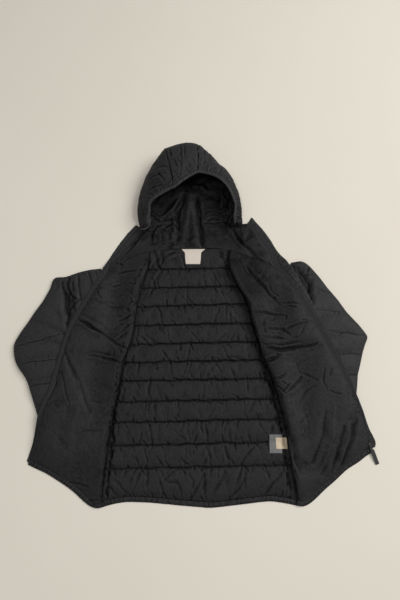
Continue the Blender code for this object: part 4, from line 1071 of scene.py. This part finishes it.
FRONT_RIGHT_FOLDS = [
    (-5.5, 3.4, (-348, 181), (-313, 164), (-283, 147)),
    (-4.5, 2.6, (-300, 158), (-248, 124), (-225, 107), (-197, 99)),
    (-1.6, 2.4, (-342, 174), (-298, 152), (-272, 139)),
    (1.6, 6, (-340, 192), (-298, 168), (-262, 146)),
    (-5.5, 3, (-280, 77), (-255, 71), (-237, 68), (-217, 60)),
    (-3, 2.4, (-308, 80), (-280, 76), (-262, 73)),
    (1.8, 3, (-300, 86), (-270, 81), (-240, 76)),
    (-1.4, 3.5, (-240, 317), (-213, 323), (-187, 323)),
    (-5, 3.6, (-191, 423), (-208, 401), (-224, 380), (-238, 362)),
    (-3.4, 2, (-154, 388), (-184, 378), (-212, 368), (-238, 352)),
    (2.6, 4, (-160, 398), (-190, 388), (-216, 378)),
    (-2, 3, (-246, 352), (-234, 350), (-224, 344)),
    (-1.2, 3, (-252, 278), (-232, 284)),
    (-1.2, 3, (-295, 269), (-289, 251), (-280, 242)),
    (-1, 3, (-200, 287), (-183, 281)),
    (-1.5, 3.5, (-228, 176), (-205, 187), (-189, 193)),
    (-1.5, 3.5, (-221, 144), (-204, 161), (-188, 173)),
    (-1.7, 3.5, (-237, 119), (-220, 133), (-204, 144)),
    (-1, 3, (-201, 225), (-190, 234)),
    (-1.3, 7, (-379, 96), (-356, 55), (-332, 14), (-319, -19), (-299, -66)),
    (-0.9, 5, (-376, 91), (-346, 27), (-330, -13)),
    (-0.9, 2.5, (-248, 110), (-241, 91), (-245, 63)),
    (-1.2, 8, (-424, -40), (-387, 14)),
    (-1.6, 5, (-261, -281), (-252, -244), (-248, -220)),
    (-1.2, 4, (-352, -254), (-320, -256), (-294, -259)),
    (-1.4, 4, (-294, -295), (-268, -293)),
    (1, 14, (-330, -60), (-345, -150), (-340, -210)),
    (-1, 2.6, (-378, 40), (-366, -10), (-350, -60)),
    (-1.2, 12, (-300, 240), (-260, 220), (-215, 215))]
FRONT_LEFT_FOLDS = [
    (-2.2, 4.5, (130, 346), (163, 301), (196, 262), (229, 224)),
    (-3, 3, (142, 403), (165, 376), (192, 357), (214, 342)),
    (-2.2, 3, (112, 370), (128, 340), (150, 306)),
    (1.6, 6, (140, 350), (176, 304), (208, 268)),
    (-1.4, 3.5, (197, 286), (208, 268), (227, 250)),
    (-3, 3, (143, 204), (200, 201), (242, 195), (244, 184)),
    (-1.4, 3, (185, 186), (183, 146)),
    (-1.7, 3, (226, 230), (258, 230), (286, 224)),
    (-1.3, 2.5, (246, 221), (274, 215)),
    (-2.4, 3.2, (246, 155), (269, 166), (301, 175)),
    (-1.4, 2.6, (284, 178), (301, 181)),
    (-2.2, 3.6, (195, 158), (226, 155), (254, 141)),
    (-3.8, 4, (193, 99), (235, 96), (280, 104), (325, 113)),
    (2.8, 4, (190, 108), (235, 106), (280, 114)),
    (-2, 4, (175, 135), (211, 132), (245, 129)),
    (-1.6, 3, (166, 118), (191, 110)),
    (-1.6, 3, (209, 87), (226, 82)),
    (-2.4, 4, (241, -16), (258, -3), (278, 22)),
    (-2, 3.5, (198, 19), (226, 24), (238, 35)),
    (-2.2, 3, (209, -3), (227, -13), (247, 3)),
    (-1.6, 2.6, (223, 11), (242, -3)),
    (-1.8, 2.6, (217, -11), (235, -21)),
    (-1.8, 3, (344, 44), (337, 14), (346, -10)),
    (-1.3, 2.6, (350, -14), (368, -22), (382, -22)),
    (-1.2, 3, (364, 46), (356, 24)),
    (-1.6, 4, (276, 35), (303, 24), (319, 14)),
    (-1.3, 2.6, (295, 233), (303, 224)),
    (-4, 5, (217, 79), (189, 68), (172, 68)),
    (-3.6, 8, (420, -93), (400, -150), (376, -202)),
    (2.4, 8, (402, -100), (386, -158), (366, -212)),
    (-3.2, 7, (386, -110), (368, -170), (350, -226)),
    (2, 9, (362, -60), (352, -130), (332, -200)),
    (-2.6, 8, (338, -70), (326, -130), (300, -200)),
    (2.4, 16, (252, -40), (262, -110), (268, -190)),
    (-2.4, 9, (232, -110), (246, -170), (262, -230))]
FRONT_RIGHT_ZIP = [(-252, 354.7), (-278, 308), (-303, 266), (-323, 228), (-345, 186), (-362, 148),
                   (-378, 88), (-392, 26), (-404, -26), (-418, -66), (-428, -108), (-436, -145),
                   (-443, -172), (-452, -199)]
FRONT_LEFT_ZIP = [(226, 335.8), (262, 282), (286, 241), (309, 197), (330, 159), (350, 119),
                  (366, 87), (382, 55), (397, 19), (410, -15), (421, -45), (432, -80), (441, -112),
                  (452, -160)]
FRONT_RIGHT_AREAS = [(((-330, 150), (-170, 380)), 34, 22.0, 4.0, 0.6, 8.0, 71),
                     (((-440, -290), (-240, 140)), 40, 40.0, 6.0, 0.6, 120.0, 72)]
FRONT_LEFT_AREAS = [(((140, 60), (330, 380)), 50, 24.0, 3.6, 0.9, 5.0, 73),
                    (((160, -280), (430, 60)), 26, 44.0, 5.0, 0.9, 62.0, 74)]
# The same lining cloth as the back's, given a lighter colour: painted light for the brighter sheen of
# the flat fronts.
FRONT_LINING = nylon("front_lining_nylon", (0.0005, 0.0005, 0.0007), (0.0126, 0.0125, 0.0136),
                     (0.0225, 0.0224, 0.0240), 0.14)

# Each front's upper edge runs a little way under the collar, as a seam allowance.
NECK_SEAMS = {"front_right": ([(-140, 398), (-184, 381), (-212, 371), (-252, 355)], (-0.35, 0.94)),
              "front_left": ([(70, 401), (117, 386), (180, 355), (226, 336)], (0.40, 0.92))}
NECK_ALLOWANCE = 4.0
FRONT_SLACK = (0.004, 0.0)
FRONT_SINK = 2.5

# The left front slopes down into the jacket beside its roll, and is painted darker there as shade:
# how deep and how far it slopes, how far the painted shade reaches and how dark it is.
LEFT_SLOPE = table("y depth reach shade dark", [
    (-300, 3, 30, 25, 0.15), (-208, 4, 30, 50, 0.20), (-125, 4, 30, 40, 0.24), (-42, 5, 30, 50, 0.30),
    (14, 6, 40, 45, 0.30), (70, 9, 50, 75, 0.40), (125, 12, 70, 75, 0.34), (182, 12, 75, 60, 0.30),
    (240, 13, 80, 50, 0.34), (283, 13, 80, 120, 0.42), (330, 11, 70, 150, 0.46),
    (400, 3, 50, 170, 0.42), (460, 0, 40, 170, 0.24)])
ROLL_SHADE = 0.36   # how much darker the right front's roll is, and how far across it
ROLL_REACH = 26.0
UPPER_SHADE = 0.10   # the same on the left front's upper part
UPPER_REACH = 110.0
for node, folds, areas, zip_edge in (
        ("front_right", FRONT_RIGHT_FOLDS, FRONT_RIGHT_AREAS, FRONT_RIGHT_ZIP),
        ("front_left", FRONT_LEFT_FOLDS, FRONT_LEFT_AREAS, FRONT_LEFT_ZIP)):
    points, quads = tailored(node, 2, swell=0.3)
    normal = normals_of(points, quads)
    hold = 1.0 - smooth_step((normal[:, 2] - 0.05) * 4.0)
    settled = settle(points, quads, hold, FRONT_SLACK, 0.05, bend=2.0, seed=6)
    points, quads = finer(limited(points, settled, quads, FRONT_SINK, STAND), quads)
    on_top = smooth_step(normals_of(points, quads)[:, 2] * 3.0)
    seam = spline(zip_edge, 80)
    small = tucks([seam], 13.0, 10.0, 2.0, 1.0, 0.0, 61)
    small += tucks([UNDER_RIGHT], 15.0, 12.0, 2.6, 3.0, 0.0, 62)
    for area in areas:
        small += crinkles(*area)
    away, along = from_line(points, np.array(NECK_SEAMS[node][0]))
    low = 1.0 - smooth_step((points[:, 2] - 6.0) / 10.0)
    under = NECK_ALLOWANCE * np.exp(-(away / 7.0) ** 2) * low
    points[:, :2] += under[:, None] * NECK_SEAMS[node][1]
    points[:, 2] += on_top * folded(points, crisper(folds, 1.7, 0.85) + small)
    shaded = 0.0
    if node == "front_right":
        away, along = from_line(points, spline(UNDER_RIGHT, 60))
        shaded = ROLL_SHADE * smooth_step(1.0 - away / ROLL_REACH)
        shaded = shaded * smooth_step(6.0 * normals_of(points, quads)[:, 0] + 0.1)
    if node == "front_left":
        away, along = from_line(points, spline(UNDER_LEFT, 60))
        depth, reach, shade, dark = (np.interp(points[:, 1], LEFT_SLOPE["y"], LEFT_SLOPE[name])
                                     for name in ("depth", "reach", "shade", "dark"))
        share = 1.0 - smooth_step((away - 4.0) / reach)
        points[:, 2] -= on_top * share * np.minimum(depth, 0.65 * points[:, 2])
        shaded = dark * (1.0 - smooth_step((away + 0.25 * shade) / (1.25 * shade)))
        upper = smooth_step((points[:, 1] + 90.0) / 90.0)
        shaded += UPPER_SHADE * (1.0 - smooth_step((away - 10.0) / UPPER_REACH)) * upper
    front = shown_piece(node + "_lining", points, quads, FRONT_LINING, node, shaded)

# ------------------------------------------------------------------ zip tapes and storm flap
# The two woven halves of the front zip, sewn along the fronts, with a coil of nylon teeth at the
# free edge of each, and the flap of shell cloth that lies behind the left half.

TAPE = Finish("zip_tape_weave", Roughness=0.8, Specular_IOR_Level=0.2)
TAPE.feed("Base Color", TAPE.shades(TAPE.cloudy(400.0, 2.0), (0.3, (0.013, 0.013, 0.014)),
                                    (0.7, (0.021, 0.021, 0.0225))))
TEETH = Finish("zip_teeth", Base_Color=(0.013, 0.013, 0.014, 1.0), Roughness=0.5,
               Specular_IOR_Level=0.3)
EDGE_RIGHT = table("seam_x seam_y edge_x edge_y", [
    (-173, 457, -195, 470), (-186, 440.7, -208, 453), (-200, 419, -222, 431),
    (-226, 384, -246, 395),
    (-252, 355, -268, 358), (-278, 308, -292, 315), (-303, 266, -316, 273),
    (-323, 228, -336, 234), (-345, 186, -358, 192), (-362, 148, -375, 153),
    (-378, 88, -391, 91), (-392, 26, -405, 29), (-404, -26, -417, -22),
    (-418, -66, -431, -62), (-428, -108, -441, -106), (-436, -145, -449, -144),
    (-443, -172, -455, -172), (-452, -199, -463, -199)])
FLAP_LEFT = table("seam_x seam_y edge_x edge_y", [
    (140, 478, 158, 500), (155.4, 453.8, 174.5, 470.5), (172, 422, 192, 440),
    (202, 374, 222, 386),
    (226, 335.8, 256, 354), (262, 282, 288, 300), (286, 241, 310, 254),
    (309, 197, 333, 200), (330, 159, 350, 160), (350, 119, 368, 121),
    (366, 87, 384, 88), (382, 55, 397, 55), (397, 19, 412, 19),
    (410, -15, 424, -20), (421, -45, 436, -52), (432, -80, 449, -84),
    (441, -112, 459, -114), (449, -146, 467, -142), (452, -160, 464, -158)])
STRIP_LINES = (5.0, 13.0, 17.0)   # where the strips are stitched, from the front's edge
STRIP_GROOVE = (4.0, 0.8)
TEETH_LINE = 10.5
TOOTH_PITCH = 2.3
TOOTH_SIZE = (1.5, 3.0, 1.3)   # along the tape, across it and high


def beside(rows, offset, spread=False):
    """A line that runs a fixed distance outside a front's seam."""
    ends = spline(np.stack([rows[name] for name in ("seam_x", "seam_y", "edge_x", "edge_y")], 1), 120)
    across = ends[:, 2:] - ends[:, :2]
    line = ends[:, :2] + across / np.linalg.norm(across, axis=1)[:, None] * offset
    if spread:
        line = line + spread_out(np.pad(line, ((0, 0), (0, 1))))[:, :2]
    return line


def tooth_rings(ends, along, across):
    """One tooth: a small block, narrower at its top."""
    length, width, high = TOOTH_SIZE
    return [ends[0] + along * length * (0.5 + (u - 0.5) * share) + across * width * v * share
            + np.array([0.0, 0.0, high * z])
            for z, share in ((0.0, 1.0), (0.6, 1.0), (1.0, 0.55))
            for u, v in ((0.0, -0.5), (1.0, -0.5), (1.0, 0.5), (0.0, 0.5))]


# The strips' ends are moved to meet the hood and the hem.
TAPE_ENDS = ((-175, 458, 7, 6, 12), (-460, -198, 0, -4, 14), (464, -152, 9, -5, 20))
TUCKED_UNDER = 8.0   # how far the strips reach in under the fronts
strips = {}
for node, finish, rows, depth, flat, under in (
        ("zip_tape_right", TAPE, EDGE_RIGHT, 0.2, (0.027, 0.723), "sleeve_right_shell"),
        ("zip_tape_left", TAPE, FLAP_LEFT, 0.3, (0.022, 0.714), "sleeve_left_shell"),
        ("storm_flap", SHELL, FLAP_LEFT, 0.3, (0.034, 0.714), "sleeve_left_shell")):
    points, quads = tailored(node, 3, firm=0.8, swell=0.3)
    seam = beside(rows, 0.0)
    away, along = from_line(points - spread_out(points), seam)
    normal = normals_of(points, quads)
    ruffles = gathers(along * far_along(seam)[-1], 15.0, 12)
    for offset in STRIP_LINES:
        ruffles -= STRIP_GROOVE[0] * np.exp(-((away - offset) / STRIP_GROOVE[1]) ** 2)
    points += normal * (depth * ruffles * smooth_step(normal[:, 2] * 2.0))[:, None]
    far = far_along(seam)
    outward = points_at(along, beside(rows, 1.0) - seam, far / far[-1])
    points[:, :2] -= TUCKED_UNDER * np.exp(-(away / TUCKED_UNDER) ** 2)[:, None] * outward
    points += nudged(points, TAPE_ENDS)
    strip = shown_piece(node + "_cloth", points, quads, finish, node)
    strips[node] = (points, quads)
tape_surface = Surface(strips["zip_tape_right"], strips["zip_tape_left"], strips["storm_flap"])
for node, rows, offsets in (("zip_tape_right", EDGE_RIGHT, (5.0,)),
                            ("zip_tape_left", FLAP_LEFT, (5.0, 17.0))):
    stitches(node, [tape_surface.laid(beside(rows, offset, True), 0.2) for offset in offsets])
    small_pieces(node + "_teeth", [tape_surface.laid(beside(rows, TEETH_LINE, True), 0.1)], TEETH,
                 lambda far: np.arange(0.0, far, TOOTH_PITCH), TOOTH_SIZE[0], tooth_rings)

# ------------------------------------------------------------------ labels
# A white woven label in the neck seam and two printed care labels in the left side seam. They are
# plain: nothing is written on them.

LABEL_WHITE = Finish("white_label", Base_Color=(0.47, 0.42, 0.36, 1.0), Roughness=0.6)
LABEL_GREY = Finish("grey_label", Base_Color=(0.092, 0.092, 0.092, 1.0), Roughness=0.6)
LABEL_CREAM = Finish("cream_label", Base_Color=(0.42, 0.34, 0.24, 1.0), Roughness=0.6)
LABEL_COLUMNS = 31
LABEL_THICKNESS = 0.45
NECK_LABEL = table("y left right", [(397, -55, 15), (393, -52, 11), (387, -47, 5), (382, -45, 3),
                                    (365, -44, 2), (350, -42, 0)])
CARE_LARGE = table("y left right", [(-131, 188, 224), (-155, 187.5, 222), (-179, 187, 220)])
CARE_SMALL = table("y left right", [(-139, 204, 236), (-154, 204.5, 236), (-168, 205, 236)])


def label(node, rows, finish, surface, lift):
    """A thin label laid on the cloth, with its two faces and its rim."""
    spread = spline(np.stack([rows[name] for name in ("y", "left", "right")], 1), LABEL_COLUMNS)
    top = []
    for y, left, right in spread:
        for x in np.linspace(left, right, LABEL_COLUMNS):
            top.append((x, y, surface.height(x, y) + lift))
    top = np.array(top)
    shape = top.reshape(LABEL_COLUMNS, LABEL_COLUMNS, 3)
    for _ in range(30):
        padded = np.pad(shape[..., 2], 1, mode="edge")
        mean = (padded[:-2, 1:-1] + padded[2:, 1:-1] + padded[1:-1, :-2] + padded[1:-1, 2:]) / 4.0
        shape[..., 2] = np.maximum(top[:, 2].reshape(mean.shape), mean)
    upper = shape.reshape(-1, 3) + (0.0, 0.0, 0.5)
    quads = grid_quads(LABEL_COLUMNS, LABEL_COLUMNS)
    count = len(upper)
    start, end = rim_of(quads).T
    sides = np.stack([end, start, start + count, end + count], axis=1)
    faces = np.concatenate([quads, quads[:, ::-1] + count, sides])
    points = np.concatenate([upper, upper - (0.0, 0.0, LABEL_THICKNESS)])
    piece = shown_piece(node + "_cloth", points, faces, finish, node)
    return points, faces


label("neck_label", NECK_LABEL, LABEL_WHITE, back_shape, 0.4)
care = label("care_label_large", CARE_LARGE, LABEL_GREY, back_shape, 0.4)
label("care_label_small", CARE_SMALL, LABEL_CREAM, Surface((back_points, back_quads), care), 0.3)

# ------------------------------------------------------------------ zip slider and pull
# The slider is cast in dark metal and runs on the left half's teeth, at whose foot it rests. The
# pull is a doubled strip of woven tape, looped through the slider's eye, where it turns.

METAL = Finish("dark_metal", Base_Color=(0.03, 0.03, 0.03, 1.0), Roughness=0.35, Metallic=0.9)
PULL = Finish("pull_tape", Base_Color=(0.012, 0.012, 0.014, 1.0), Roughness=0.7)
for node, finish in (("zip_slider", METAL), ("zip_pull", PULL)):
    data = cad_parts[node].data
    data.materials.clear()
    data.materials.append(finish.material)

scene.frame_set(1)
